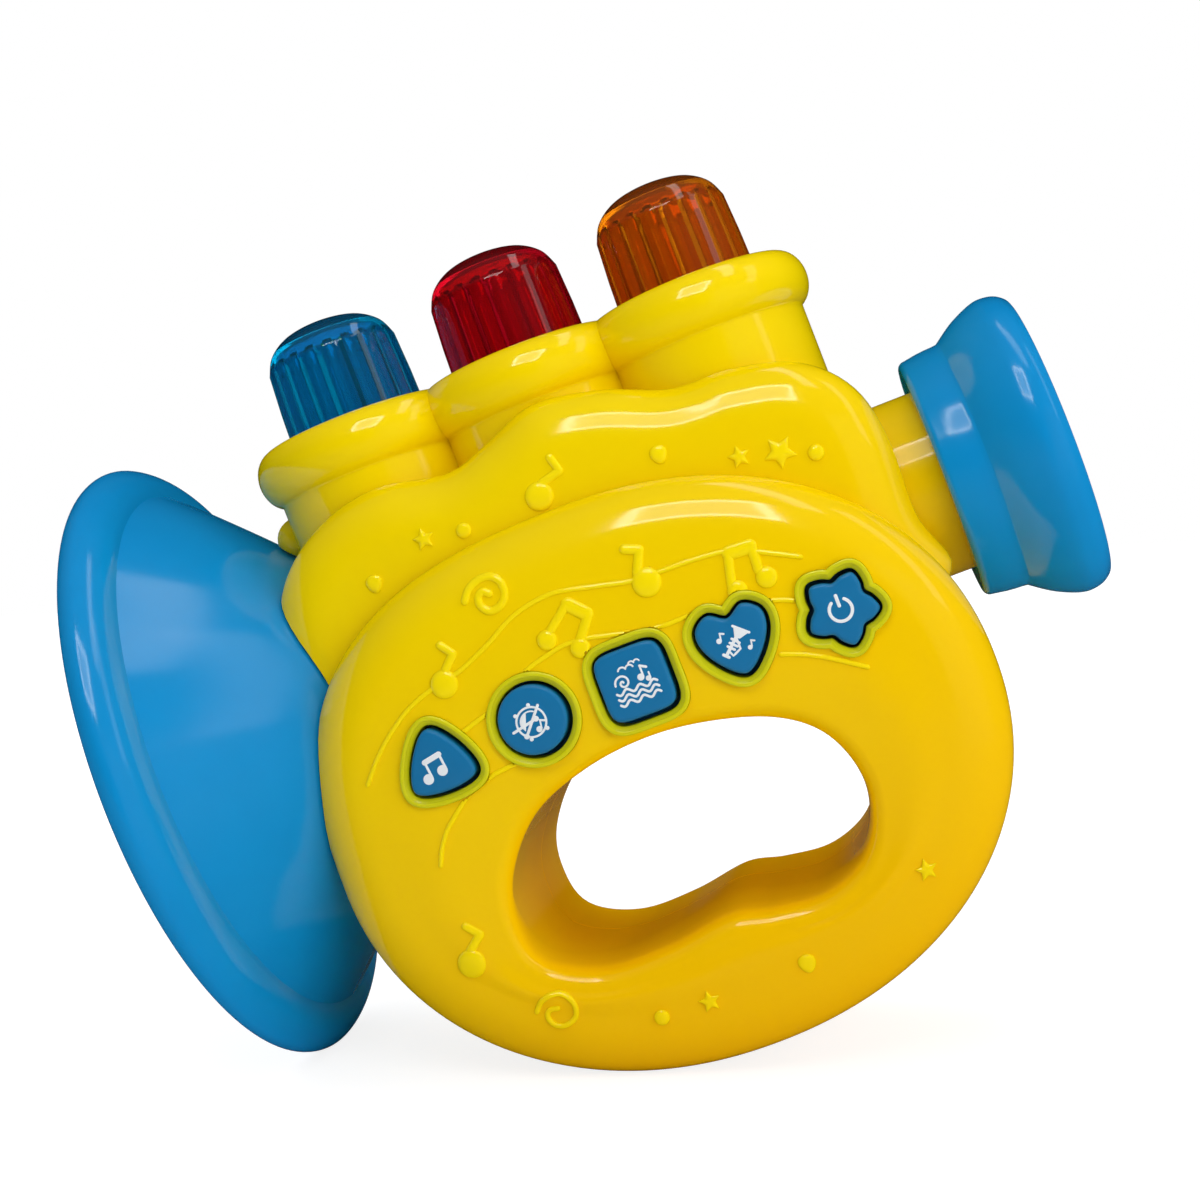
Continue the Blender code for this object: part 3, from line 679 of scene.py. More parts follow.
# Bell, grille and mouthpiece
def arc(radius, along, tube, first, last, steps):
    """Part of a circle in a turned profile, from one angle to another."""
    points = []
    for i in range(steps + 1):
        angle = math.radians(first + (last - first) * i / steps)
        points.append((radius + tube * math.sin(angle), along + tube * math.cos(angle)))
    return points


flare = spline(BELL_OUTSIDE[1:], False, 8)
lip = spline(BELL_LIP, False, 8)[1:-1]
inside = spline(BELL_LIP_INSIDE + BELL_INSIDE[:-1], False, 8)
bell_profile = [BELL_OUTSIDE[0]] + flare + lip + inside + [BELL_INSIDE[-1]]
bell = solid("bell_moulding", turned(bell_profile, "X", (0, 0, 0), 160, caps=False))

cup = spline(MOUTH_CUP, False, 8)
collar = list(MOUTH_COLLAR) + arc(COLLAR_RADIUS, COLLAR_START + COLLAR_EDGE, COLLAR_EDGE, 90, 180, 6)
mouth = solid("mouthpiece_moulding", turned(cup + collar + list(MOUTH_BORE), "X", (0, 0, HORN_LIFT), 128))

grille = solid("grille_disc", turned(GRILLE, "X", (0, 0, 0), 96))
holes = [(0.0, 0.0)] + circle(GRILLE_CIRCLE, 8)
holes = [solid("hole", rod(GRILLE_HOLE, *GRILLE_CUT, "X", (0, y, z), 32)) for y, z in holes]
grille = combine(grille, holes, "DIFFERENCE")


# Valve keys: smooth outside, with half-round flutes down the bore that end in scallops under the dome
def key_cap(x):
    """A clear cap with a flange that the deck holds down; profiles are (radius, height)."""
    around = FLUTES * 8
    foot = DECK_UNDER - 0.0008
    below = foot - 0.0020
    dome = ((0.0009, 0.0), (0.0050, 0.0003), (0.0092, 0.0015), (0.0125, 0.0040), (0.0142, 0.0075))
    outer = spline([(radius, KEY_TOP - down) for radius, down in dome], False, 6)
    outer += [(0.0147, 0.0640), (KEY_RADIUS, foot + 0.0002), (0.0152, foot)]
    outer += [(KEY_FLANGE, foot), (KEY_FLANGE, below)]
    bore = [(0.0132, below), (0.0131, foot - 0.0015), (0.0129, 0.0600), (0.0127, 0.0690)]
    bore += [(0.0126 - 0.0002 * i / 12, 0.0705 + 0.0003 * i) for i in range(10)]
    bore += spline(((0.0122, 0.0738), (0.0112, 0.0755), (0.0090, 0.0767), (0.0009, 0.0776)), False, 5)
    rings = []
    for number, (radius, z) in enumerate(outer + bore):
        ring = []
        for i in range(around):
            angle = 2 * math.pi * i / around
            r = radius
            if number >= len(outer) and z < FLUTE_END:
                rib = abs(math.sin(FLUTES * (angle - FLUTE_TURN) / 2))
                fade = min(max((SCALLOP_LOW + SCALLOP_RISE * rib - z) / SCALLOP_EDGE, 0.0), 1.0)
                r -= FLUTE_DEPTH * rib * fade * fade * (3 - 2 * fade)
            ring.append((x + r * math.cos(angle), r * math.sin(angle), z))
        rings.append(ring)
    return loft(rings)


key_caps = {name: solid("key_cap_" + name, key_cap(x)) for name, x in KEYS.items()}


def coil(x):
    """A compression spring under a key; its first and last turns lie close."""
    steps = 24
    free_turns = SPRING_TURNS - 2
    rise = SPRING_HIGH - SPRING_LOW - 6 * SPRING_WIRE
    section = circle(SPRING_WIRE, 10)
    rings = []
    for i in range(SPRING_TURNS * steps + 1):
        turns = i / steps
        free = min(max(turns - 1, 0), free_turns) / free_turns
        closed = turns - free * free_turns
        z = SPRING_LOW + SPRING_WIRE + 2 * SPRING_WIRE * closed + free * rise
        c = math.cos(2 * math.pi * turns)
        s = math.sin(2 * math.pi * turns)
        rings.append([(x + (SPRING_RADIUS + u) * c, (SPRING_RADIUS + u) * s, z + v) for u, v in section])
    return loft(rings)


key_coils = {name: solid("key_coil_" + name, coil(x)) for name, x in KEYS.items()}


# Sound buttons in their bezels
def button_solid(name):
    """A keytop with a foot under the bezel; it has play and rests a little to one side of its opening."""
    foot = BEZEL_GAP + BUTTON_FOOT
    section = [
        (foot, BEZEL_BOTTOM + BUTTON_FOOT_HEIGHT), (foot, BEZEL_BOTTOM + GAP),
        (BUTTON_SWELL, BEZEL_BOTTOM + GAP), (BUTTON_SWELL, BUTTON_TOP + BUTTON_EDGE),
    ]
    for degrees in range(12, 85, 12):
        angle = math.radians(degrees)
        section.append((
            BUTTON_SWELL - BUTTON_EDGE * (1 - math.cos(angle)),
            BUTTON_TOP + BUTTON_EDGE * (1 - math.sin(angle)) + BUTTON_LIFT,
        ))
    rings = [flat(button_ring(name, distance), y) for distance, y in section]
    edge = rings[-1]
    x, z = BUTTONS[name]
    for size in (0.92, 0.75, 0.5, 0.25, 0.05):
        y = edge[0][1] - BUTTON_CROWN * (1 - size**2)
        rings.append([(x + (p[0] - x) * size, y, z + (p[2] - z) * size) for p in edge])
    right, up = BUTTON_PLAY[name]
    return loft([[(p[0] + right, p[1], p[2] + up) for p in ring] for ring in rings])


def bezel_solid(name):
    """A dished ring round the button with a low round ridge along its outside."""
    near = BEZEL_GAP
    far = BEZEL_GAP + BEZEL_WIDTH + BEZEL_FLANGE
    dish = BEZEL_TOP + BEZEL_DISH
    section = [(near, BEZEL_BOTTOM), (near, dish + 0.0002), (near + 0.0001, dish)]
    section.append((near + BEZEL_SLOPE, BEZEL_TOP))
    ridge = (far - near - BEZEL_SLOPE) / 2
    for degrees in range(165, 14, -15):
        angle = math.radians(degrees)
        section.append((far - ridge + ridge * math.cos(angle), BEZEL_TOP - BEZEL_RIDGE * math.sin(angle)))
    section += [(far, BEZEL_TOP + 0.0002), (far, BEZEL_BOTTOM)]
    return loft([flat(button_ring(name, distance), y) for distance, y in section], caps=False)


buttons = {name: solid("button_cap_" + name, button_solid(name)) for name in BUTTONS}
bezels = {name: solid("bezel_ring_" + name, bezel_solid(name)) for name in BUTTONS}


# Raised motifs and printed signs lie on the surface that a probe from the front meets. A line's section is
# (across, up) and its round end (along, width), a pad's section is (size, up), all as shares of the whole
LINE_SECTION = ((-1, 0), (-0.9, 0.45), (-0.6, 0.85), (0, 1), (0.6, 0.85), (0.9, 0.45), (1, 0))
LINE_END = ((0.97, 0.24), (0.87, 0.5), (0.6, 0.8), (0.3, 0.954))
LINE_END_HEIGHT = 0.35
LINE_STEP = 0.0005
PAD_SECTION = ((1, 0), (0.96, 0.4), (0.83, 0.72), (0.6, 0.91), (0.3, 0.99), (0.06, 1))


def surface(obj):
    """How deep a piece's front lies at any (x, z)."""
    tree = BVHTree.FromPolygons([v.co for v in obj.data.vertices], [p.vertices for p in obj.data.polygons])

    def depth(x, z):
        hit = tree.ray_cast((x, -FAR, z), (0, 1, 0))[0]
        return hit.y if hit else 0.0

    return depth


def stroke(path, width, height, sunk, depth, curved=True):
    """A raised line with a rounded back and round ends along (x, z) points."""
    points = spline(path, False, 8) if curved and len(path) > 2 else list(path)
    dense = []
    for a, b in zip(points, points[1:]):
        count = max(1, round(math.dist(a, b) / LINE_STEP))
        dense += [(a[0] + (b[0] - a[0]) * i / count, a[1] + (b[1] - a[1]) * i / count) for i in range(count)]
    dense.append(points[-1])
    half = width / 2
    marks = []
    for i, p in enumerate(dense):
        a = dense[max(i - 1, 0)]
        b = dense[min(i + 1, len(dense) - 1)]
        length = math.dist(a, b)
        marks.append((p, ((b[0] - a[0]) / length, (b[1] - a[1]) / length), 1.0))
    start, start_way, _ = marks[0]
    end, end_way, _ = marks[-1]
    head = [((start[0] - start_way[0] * half * s, start[1] - start_way[1] * half * s), start_way, size)
            for s, size in LINE_END]
    tail = [((end[0] + end_way[0] * half * s, end[1] + end_way[1] * half * s), end_way, size)
            for s, size in LINE_END[::-1]]
    section = [(-1, -sunk)] + [(across, up * height) for across, up in LINE_SECTION] + [(1, -sunk)]
    rings = []
    for p, way, size in head + marks + tail:
        ring = []
        for across, up in section:
            x = p[0] - way[1] * half * size * across
            z = p[1] + way[0] * half * size * across
            rise = up * (LINE_END_HEIGHT + (1 - LINE_END_HEIGHT) * size) if up > 0 else up
            ring.append((x, depth(x, z) - rise, z))
        rings.append(ring)
    return loft(rings)


def boss(outline, middle, height, sunk, depth):
    """A raised pad on a closed (x, z) outline round a middle, with a rounded edge."""
    rings = []
    for size, up in [(1, -sunk)] + [(size, up * height) for size, up in PAD_SECTION]:
        ring = []
        for u, v in outline:
            x = middle[0] + u * size
            z = middle[1] + v * size
            ring.append((x, depth(x, z) - up, z))
        rings.append(ring)
    return loft(rings)


def five_point(radius, turn):
    """A star outline with slightly blunt points."""
    points = []
    for i in range(10):
        angle = math.radians(turn + 36 * i)
        reach = radius if i % 2 == 0 else radius * 0.5
        points.append((reach * math.cos(angle), reach * math.sin(angle)))
    out = []
    for a, b in zip(points, points[1:] + points[:1]):
        out += [(a[0] + (b[0] - a[0]) * t, a[1] + (b[1] - a[1]) * t) for t in (0.06, 0.3, 0.6, 0.94)]
    return out


def drop(size):
    """A drop outline, broad above and narrow below."""
    taper = 0.22
    long = 1.1
    return [(size * (1 - taper * s) * c, -size * long * s) for c, s in circle(1.0, 40)]


def gather(name, shapes):
    """One object from several (points, faces) shapes."""
    points = []
    faces = []
    for more_points, more_faces in shapes:
        start = len(points)
        points += more_points
        faces += [tuple(start + i for i in face) for face in more_faces]
    return solid(name, (points, faces))


front_face = surface(front)
STAFF = (
    mm((-52.4, -15.0), (-48.4, -10.6), (-43.9, -6.9), (-39.0, -3.9), (-33.7, -2.1), (-27.6, -0.8),
       (-23.3, 0.8), (-19.5, 2.5), (-16.6, 4.1), (-13.8, 5.4), (-10.7, 6.3), (-7.4, 6.8), (-4.6, 6.9),
       (-1.6, 6.4), (4.2, 5.0), (10.2, 3.7), (16.3, 3.4), (21.0, 3.3), (25.5, 3.0), (28.5, 2.6), (31.6, 1.6),
       (34.2, 0.5), (38.1, -1.5), (41.9, -3.5)),
    mm((-30.6, -11.9), (-28.0, -11.1), (-25.0, -10.3)),
    mm((-15.0, -5.3), (-13.1, -4.6), (-10.6, -4.0), (-6.7, -3.2), (-3.6, -3.3), (-1.0, -3.6), (3.9, -4.8),
       (8.4, -5.8), (13.0, -6.4), (16.9, -6.4), (19.6, -6.3)),
    mm((33.0, -9.0), (35.7, -9.8), (38.3, -11.0)),
    mm((-44.3, -34.6), (-43.0, -31.9), (-41.0, -29.1), (-38.9, -27.2), (-34.3, -23.8), (-31.1, -22.6),
       (-28.0, -21.7), (-23.5, -21.2)),
    mm((32.0, -19.4), (33.7, -20.0), (36.4, -21.1), (40.2, -23.2), (43.8, -25.6), (46.2, -27.2)),
)
STAFF_WIDTH = 0.0010
STAFF_HEIGHT = 0.00045
RAISED = 0.0006
HEAD_HEIGHT = 0.0009
DROP_SIZE = 0.0017
DROP_HEIGHT = 0.0007
SUNK = 0.0003
STEM_SCALE = 0.0012
SPIRAL_SCALE = 0.00115
motifs = [stroke(line, STAFF_WIDTH, STAFF_HEIGHT, SUNK, front_face) for line in STAFF]

# Note heads and dots, then stems and flags, spirals, stars and drops, in millimetres. Stems and spirals have
# the widths of their tops, which their scales widen to the foot
for middle, radius in (
    ((-2.0, 25.8), 2.9), ((-30.9, -2.0), 2.8), ((13.0, 2.4), 2.9), ((-45.6, -54.6), 2.9), ((-8.9, -1.1), 2.0),
    ((-3.4, -4.8), 2.0), ((28.6, -5.2), 2.0), ((34.6, -4.8), 2.1), ((-18.6, 25.0), 1.6),
    ((-14.3, -76.6), 1.55), ((51.4, 14.1), 1.6),
):
    motifs.append(boss(circle(radius / 1000, 48), mm(middle)[0], HEAD_HEIGHT, SUNK, front_face))
for path, width in (
    (((-0.7, 28.0), (3.4, 29.0)), 1.5), (((3.5, 29.1), (2.6, 32.1)), 1.4),
    (((-29.8, 0.4), (-27.3, 2.8)), 1.5), (((-27.2, 2.9), (-29.0, 5.3)), 1.4),
    (((11.9, 4.7), (13.7, 8.5)), 1.6), (((13.8, 8.7), (11.2, 9.8)), 1.6),
    (((-45.0, -52.2), (-42.1, -49.9)), 1.5), (((-42.0, -49.7), (-44.0, -47.4)), 1.4),
    (((-8.3, -0.2), (-3.1, 3.9)), 1.5), (((-2.7, 3.8), (0.0, 0.9)), 2.4), (((0.2, 0.5), (-2.9, -3.4)), 1.7),
    (((27.9, -3.9), (29.3, 2.0)), 1.6), (((29.6, 2.0), (33.6, 1.8)), 2.4), (((33.9, 1.6), (33.7, -3.0)), 1.7),
):
    motifs.append(stroke(mm(*path), width * STEM_SCALE, RAISED, SUNK, front_face))
for spiral, width in (
    (mm((-21.4, 11.6), (-19.9, 13.5), (-17.6, 14.5), (-15.2, 14.3), (-13.6, 12.7), (-13.5, 10.2),
        (-14.9, 8.4), (-17.3, 8.0), (-18.7, 9.4), (-18.7, 11.2), (-17.5, 12.1), (-16.4, 11.3)), 1.4),
    (mm((-36.9, -67.6), (-35.3, -66.0), (-32.9, -65.4), (-30.7, -66.1), (-29.4, -68.4), (-30.1, -71.0),
        (-32.6, -72.0), (-34.6, -71.2), (-35.3, -69.4), (-34.5, -68.2), (-32.8, -68.3)), 1.0),
):
    motifs.append(stroke(spiral, width * SPIRAL_SCALE, RAISED, SUNK, front_face))
for middle, radius, turn in (
    ((-26.8, 26.3), 2.4, 160), ((37.3, 18.7), 2.4, 160), ((45.0, 16.7), 3.5, -30), ((-4.5, -76.7), 2.3, 160),
    ((42.9, -66.8), 2.3, 160),
):
    motifs.append(boss(five_point(radius / 1000, turn), mm(middle)[0], RAISED, SUNK, front_face))
for middle in ((-39.4, 21.6), (22.9, 24.8), (15.6, -76.0)):
    motifs.append(boss(drop(DROP_SIZE), mm(middle)[0], DROP_HEIGHT, SUNK, front_face))
relief = gather("front_relief", motifs)

# Printed signs on the buttons in millimetres round their middles: lines with widths, discs with radii and
# filled shapes. Each lies a hair over the one before it, so that no two faces share a plane
INK = 0.00006
INK_STEP = 0.000002


def bow(radius, middle, first, last):
    """Part of a circle from one angle to another."""
    angles = (math.radians(a) for a in range(first, last + 1, 8))
    return [(middle[0] + radius * math.cos(a), middle[1] + radius * math.sin(a)) for a in angles]


DRUM = (0.2, 0.0)
lugs = (math.radians(a) for a in (80, 140, 250, 320))
wave = [(u / 10, 0.42 * math.sin(u / 10 * 2.3)) for u in range(-41, 42)]
winds = (i / 6 for i in range(2, 31))
curl = [(0.32 * t * math.cos(1.9 * t) - 2.2, 0.32 * t * math.sin(1.9 * t) + 0.7) for t in winds]
ring_angles = (math.radians(a) for a in range(36, 325, 6))
open_ring = [(2.15 * math.sin(a), 2.15 * math.cos(a) - 0.2) for a in ring_angles]
SIGNS = {
    # Two joined notes
    "triangle": (
        [([(-1.0, -2.1), (-1.4, 1.2)], 0.5), ([(2.2, -1.4), (1.8, 1.8)], 0.5),
         ([(-1.4, 1.1), (1.8, 1.7)], 1.1)],
        [((-1.8, -2.2), 1.05), ((1.4, -1.5), 1.05)],
        [],
    ),
    # A drum with two sticks and a note
    "circle": (
        [(bow(2.9, DRUM, -20, 340), 0.42), (bow(2.1, DRUM, 60, 180), 0.3), ([(-3.8, -0.8), (1.3, 0.3)], 0.55),
         ([(-1.6, -2.3), (2.5, 2.6)], 0.55), ([(1.7, -1.7), (1.9, -0.2)], 0.34),
         ([(1.9, -0.2), (2.8, -0.6)], 0.4)],
        [((1.3, 0.3), 0.55), ((-1.6, -2.3), 0.55), ((1.2, -1.8), 0.6)]
        + [((DRUM[0] + 3.3 * math.cos(a), 3.3 * math.sin(a)), 0.4) for a in lugs],
        [bow(2.1, DRUM, 100, 220)],
    ),
    # Waves, a curling crest, birds and notes
    "square": (
        [([(u, v + low) for u, v in wave], 0.48) for low in (-1.0, -2.1, -3.2)]
        + [(curl, 0.42), ([(1.9, 0.6), (1.9, 2.7)], 0.4), ([(1.9, 2.7), (3.0, 2.1)], 0.5),
           ([(3.1, -0.1), (3.1, 1.0)], 0.36), (bow(0.8, (-1.6, 2.8), 20, 160), 0.36),
           (bow(0.8, (-0.1, 2.8), 20, 160), 0.36), (bow(0.6, (0.5, 3.5), 20, 160), 0.32),
           (bow(0.6, (1.6, 3.5), 20, 160), 0.32)],
        [((1.4, 0.6), 0.68), ((2.7, -0.1), 0.52)],
        [],
    ),
    # A horn with three valves and notes
    "heart": (
        [([(-2.5, -2.0), (1.0, 1.2)], 0.62), ([(-2.9, -1.6), (-2.1, -2.4)], 0.6),
         ([(0.6, 2.9), (3.1, 0.7)], 0.5), ([(-1.6, -0.4), (-0.6, -1.4)], 0.5),
         ([(-1.0, 0.1), (0.1, -1.0)], 0.5), ([(-0.4, 0.7), (0.7, -0.5)], 0.5),
         ([(-1.7, -1.3), (-1.2, -2.4), (0.5, -1.6), (0.5, 0.4)], 0.42), ([(-2.4, 1.1), (-2.2, 2.4)], 0.32),
         ([(-2.2, 2.4), (-1.5, 2.1)], 0.4), ([(2.7, -1.9), (2.9, -0.8)], 0.3),
         ([(2.9, -0.8), (3.5, -1.1)], 0.36)],
        [((-2.8, 1.1), 0.52), ((2.3, -2.0), 0.46)],
        [[(0.5, 0.5), (1.1, 0.2), (3.0, 0.7), (0.7, 2.8), (0.2, 0.9)]],
    ),
    # A power sign
    "star": (
        [(open_ring, 0.62), ([(0.0, 0.6), (0.0, 2.6)], 0.66)],
        [],
        [],
    ),
}
SIGN_ASIDE = {"triangle": (-0.0011, 0.0003), "circle": (-0.0006, -0.0002)}


def pictogram(name):
    """The printed sign of a button, laid on its crowned top."""
    lines, discs, fills = SIGNS[name]
    depth = surface(buttons[name])
    x, z = BUTTONS[name]
    aside, low = SIGN_ASIDE.get(name, (0.0, 0.0))

    def at(u, v):
        return (x + aside + u / 1000, z + low + v / 1000)

    shapes = []
    for path, width in lines:
        height = INK + INK_STEP * len(shapes)
        shapes.append(stroke([at(*p) for p in path], width / 1000, height, INK, depth, False))
    pads = [(circle(radius / 1000, 36), middle) for middle, radius in discs]
    for corners in fills:
        middle = tuple(sum(c) / len(corners) for c in zip(*corners))
        outline = [((u - middle[0]) / 1000, (v - middle[1]) / 1000) for u, v in spaced(corners, 48)]
        pads.append((outline, middle))
    for outline, middle in pads:
        shapes.append(boss(outline, at(*middle), INK + INK_STEP * len(shapes), INK, depth))
    return gather("pictogram_" + name, shapes)


pictograms = {name: pictogram(name) for name in BUTTONS}


# Materials
def linear(code):
    """Scene colour from an sRGB hex code."""
    parts = (int(code[i:i + 2], 16) / 255 for i in (1, 3, 5))
    return tuple(c / 12.92 if c <= 0.04045 else ((c + 0.055) / 1.055) ** 2.4 for c in parts) + (1.0,)


# The colour sockets of a mix node share their names with its other sockets, so they go by number
MIX_A = 6
MIX_B = 7
MIX_COLOUR = 2


def add(material, kind, settings=(), links=()):
    """Adds a node, sets its properties or inputs by name, and links (input, node, output) triples to it."""
    tree = material.node_tree
    node = tree.nodes.new(kind)
    for key, value in dict(settings).items():
        if isinstance(key, int) or key in node.inputs:
            node.inputs[key].default_value = value
        else:
            setattr(node, key, value)
    for key, source, output in links:
        tree.links.new(source.outputs[output], node.inputs[key])
    return node


# Pattern sizes in metres. The real orange peel is some 0.3 mm wide, too fine to show, so it is drawn coarser
FLOW_MARK = 0.014
POLISH_PATCH = 0.004
ORANGE_PEEL = 0.0011
PEEL_DEPTH = 0.0001


def finish(name, colour, deep, roughness, peel=0.06, ior=None, painted_warm_shade=None, **more):
    """A material with flow marks from one colour to a deeper one, uneven polish and an orange peel.

    A painted warm shade takes over slowly towards the lower right, for the deeper orange that light bounced
    within the yellow gives there.
    A metal keeps the shader's own IOR, and one that is mirror-bright has no uneven polish.
    """
    material = bpy.data.materials.new(name)
    material.use_nodes = True
    join = material.node_tree.links.new
    shader = material.node_tree.nodes["Principled BSDF"]
    place = add(material, "ShaderNodeTexCoord")
    flow = add(material, "ShaderNodeTexNoise", {"Scale": 1 / FLOW_MARK, "Detail": 3.0, "Roughness": 0.55},
               [("Vector", place, "Object")])
    tint = add(material, "ShaderNodeMix", {"data_type": "RGBA", MIX_A: linear(colour), MIX_B: linear(deep)},
               [("Factor", flow, "Fac")])
    # Painted shade: the colour turns warmer towards the lower right, as light bounced within the yellow would
    # make it
    if painted_warm_shade:
        slope = add(material, "ShaderNodeVectorMath", {"operation": "DOT_PRODUCT", 1: (0.5, 0.0, -0.87)},
                    [(0, place, "Object")])
        share = add(material, "ShaderNodeMapRange", {"From Min": -0.11, "From Max": 0.02},
                    [("Value", slope, "Value")])
        tint = add(material, "ShaderNodeMix", {"data_type": "RGBA", MIX_B: linear(painted_warm_shade)},
                   [("Factor", share, "Result"), (MIX_A, tint, MIX_COLOUR)])
    join(tint.outputs[MIX_COLOUR], shader.inputs["Base Color"])
    shader.inputs["Roughness"].default_value = roughness
    if roughness:
        polish = add(material, "ShaderNodeTexNoise",
                     {"Scale": 1 / POLISH_PATCH, "Detail": 4.0, "Roughness": 0.6},
                     [("Vector", place, "Object")])
        gloss = add(material, "ShaderNodeMapRange", {"To Min": roughness * 0.8, "To Max": roughness * 1.25},
                    [("Value", polish, "Fac")])
        join(gloss.outputs["Result"], shader.inputs["Roughness"])
    skin = add(material, "ShaderNodeTexNoise", {"Scale": 1 / ORANGE_PEEL, "Detail": 2.0, "Roughness": 0.5},
               [("Vector", place, "Object")])
    bump = add(material, "ShaderNodeBump", {"Strength": peel, "Distance": PEEL_DEPTH},
               [("Height", skin, "Fac")])
    join(bump.outputs["Normal"], shader.inputs["Normal"])
    if ior:
        shader.inputs["IOR"].default_value = ior
    for key, value in more.items():
        shader.inputs[key.replace("_", " ")].default_value = value
    return material


ABS = 1.52
SILICONE = 1.43
POLYSTYRENE = 1.59
NYLON = 1.53
PAPER = 1.5
CLEAR = {"roughness": 0.045, "peel": 0.02, "ior": POLYSTYRENE, "Transmission_Weight": 0.86}
looks = {
    # ABS from a polished mould: sharp highlights on a strong yellow, with painted shade that turns it warmer
    # towards the lower right.
    # The raised motifs get a paler copy of it: painted light, for the light that their raised tops catch
    "body_yellow": finish("moulded_abs_yellow", "#F8DA00", "#F6D400", 0.10, ior=ABS, painted_warm_shade="#FCC000"),
    "relief_yellow_painted_lighter": finish("abs_yellow_painted_lighter", "#FFE60A", "#FEE206", 0.10, ior=ABS, painted_warm_shade="#FFDE04"),
    # ABS from a mould with a softer polish: broad highlights on sky blue
    "horn_blue": finish("moulded_abs_sky_blue", "#0C90D2", "#0989CA", 0.14, ior=ABS),
    # Satin ABS: a yellow-green ring with a dull edge of light
    "bezel_lime": finish("moulded_abs_lime", "#D8D404", "#D0CC00", 0.22, ior=ABS),
    # Moulded silicone: a soft sheen with no sharp highlight
    "button_blue": finish("silicone_blue", "#0474AA", "#026EA2", 0.38, 0.10, SILICONE),
    "membrane_black": finish("silicone_black", "#1B1B1D", "#141416", 0.55, 0.12, SILICONE),
    # Screen-printed ink: an opaque, nearly matt white
    "ink": finish("screen_print_white", "#F2F5F7", "#E6EAEE", 0.45, 0.05, ABS),
    # Clear tinted polystyrene: deep colour, bright glints and a view of the flutes inside
    "key_blue_clear": finish("clear_polystyrene_teal", "#008CB8", "#0086B0", **CLEAR),
    "key_red_clear": finish("clear_polystyrene_red", "#B8061E", "#B0041A", **CLEAR),
    "key_orange_clear": finish("clear_polystyrene_amber", "#C87008", "#C26A04", **CLEAR),
    # Unpolished ABS and nylon: plain dull white and black inner parts
    "plunger_white": finish("moulded_abs_white", "#E9E7DF", "#E0DED6", 0.35, ior=ABS),
    "switch_black": finish("nylon_black", "#1D1D1F", "#161618", 0.5, 0.12, NYLON),
    # Cured solder resist: a wavy green film
    "board_green": finish("solder_resist_green", "#1E6B3A", "#185E32", 0.35, 0.15, ABS),
    # Cast epoxy: a clear, faintly milky lamp
    "lamp_clear": finish("clear_epoxy", "#F4F4F0", "#EEEEE8", 0.08, 0.02, ABS, Transmission_Weight=0.8),
    # Shrunk film: a smooth dark sleeve with a soft stripe of light
    "cell_sleeve": finish("cell_sleeve_black", "#26272B", "#1F2024", 0.3, ior=NYLON),
    # Pressed paper and sintered ferrite: rough, dark and without highlights
    "cone_black": finish("paper_cone_black", "#222222", "#191919", 0.75, 0.4, PAPER),
    "magnet": finish("ferrite_grey", "#4A4A4E", "#3E3E42", 0.6, 0.3, PAPER),
    # Drawn wire and bright plating: mirror-bright, so they show the white room
    "spring_steel": finish("spring_steel", "#A9ABB0", "#989AA0", 0.0, 0.1, Metallic=1.0),
    "contact_nickel": finish("nickel_plate", "#C9C4B8", "#BDB8AC", 0.0, 0.1, Metallic=1.0),
    "screw_steel": finish("bright_zinc_screw", "#B4B6B8", "#A4A6A8", 0.0, 0.15, Metallic=1.0),
    # Pressed steel with dull plating: a grey, blurred gleam
    "speaker_steel": finish("zinc_plated_steel", "#9EA2A6", "#8E9296", 0.35, 0.2, Metallic=1.0),
}


def show(obj, body, slot, nodes=(), look=None, sharp=32):
    """Stands a finished piece in the frame, shades it smooth up to its creases and ties it to a CAD body."""
    mesh = obj.data
    mesh.transform(STANCE)
    mesh.materials.clear()
    mesh.materials.append(looks[look or slot])
    mesh.shade_smooth()
    mesh.set_sharp_from_angle(angle=math.radians(sharp))
    even = obj.modifiers.new("even shading", "WEIGHTED_NORMAL")
    even.keep_sharp = True
    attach(obj, body)
    if nodes:
        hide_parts(*nodes)


show(front, "trumpet", "body_yellow", ["front_shell"])
show(back, "trumpet", "body_yellow", ["back_shell"])
# The motifs wear a paler yellow: painted light, for the light that their raised tops catch
show(relief, "trumpet", "body_yellow", look="relief_yellow_painted_lighter", sharp=50)
show(lid, "battery_door", "body_yellow", ["battery_door"])
show(bell, "trumpet", "horn_blue", ["bell"])
show(grille, "trumpet", "horn_blue", ["speaker_grille"])
show(mouth, "trumpet", "horn_blue", ["mouthpiece"])
for name in KEYS:
    show(key_caps[name], "key_" + name, "key_%s_clear" % name, ["key_" + name], sharp=40)
    show(key_coils[name], "trumpet", "spring_steel", ["key_spring_" + name])
    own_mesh(key_coils[name])
for name in BUTTONS:
    show(buttons[name], "button_" + name, "button_blue", ["button_" + name])
    show(bezels[name], "trumpet", "bezel_lime", ["bezel_" + name])
    show(pictograms[name], "button_" + name, "button_blue", look="ink")

# Inner pieces keep their CAD meshes and get the look of their slot
slots = {
    "keypad_membrane": "membrane_black", "button_board": "board_green", "valve_board": "board_green",
    "plunger": "plunger_white", "switch": "switch_black", "lamp": "lamp_clear",
    "speaker_frame": "speaker_steel", "speaker_cone": "cone_black", "speaker_magnet": "magnet",
    "battery": "cell_sleeve", "contact": "contact_nickel", "door_screw": "screw_steel",
    "shell_screw": "screw_steel",
}
for name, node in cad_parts.items():
    for start, slot in slots.items():
        if name.startswith(start) and name != "battery_door":
            node.data.materials.clear()
            node.data.materials.append(looks[slot])


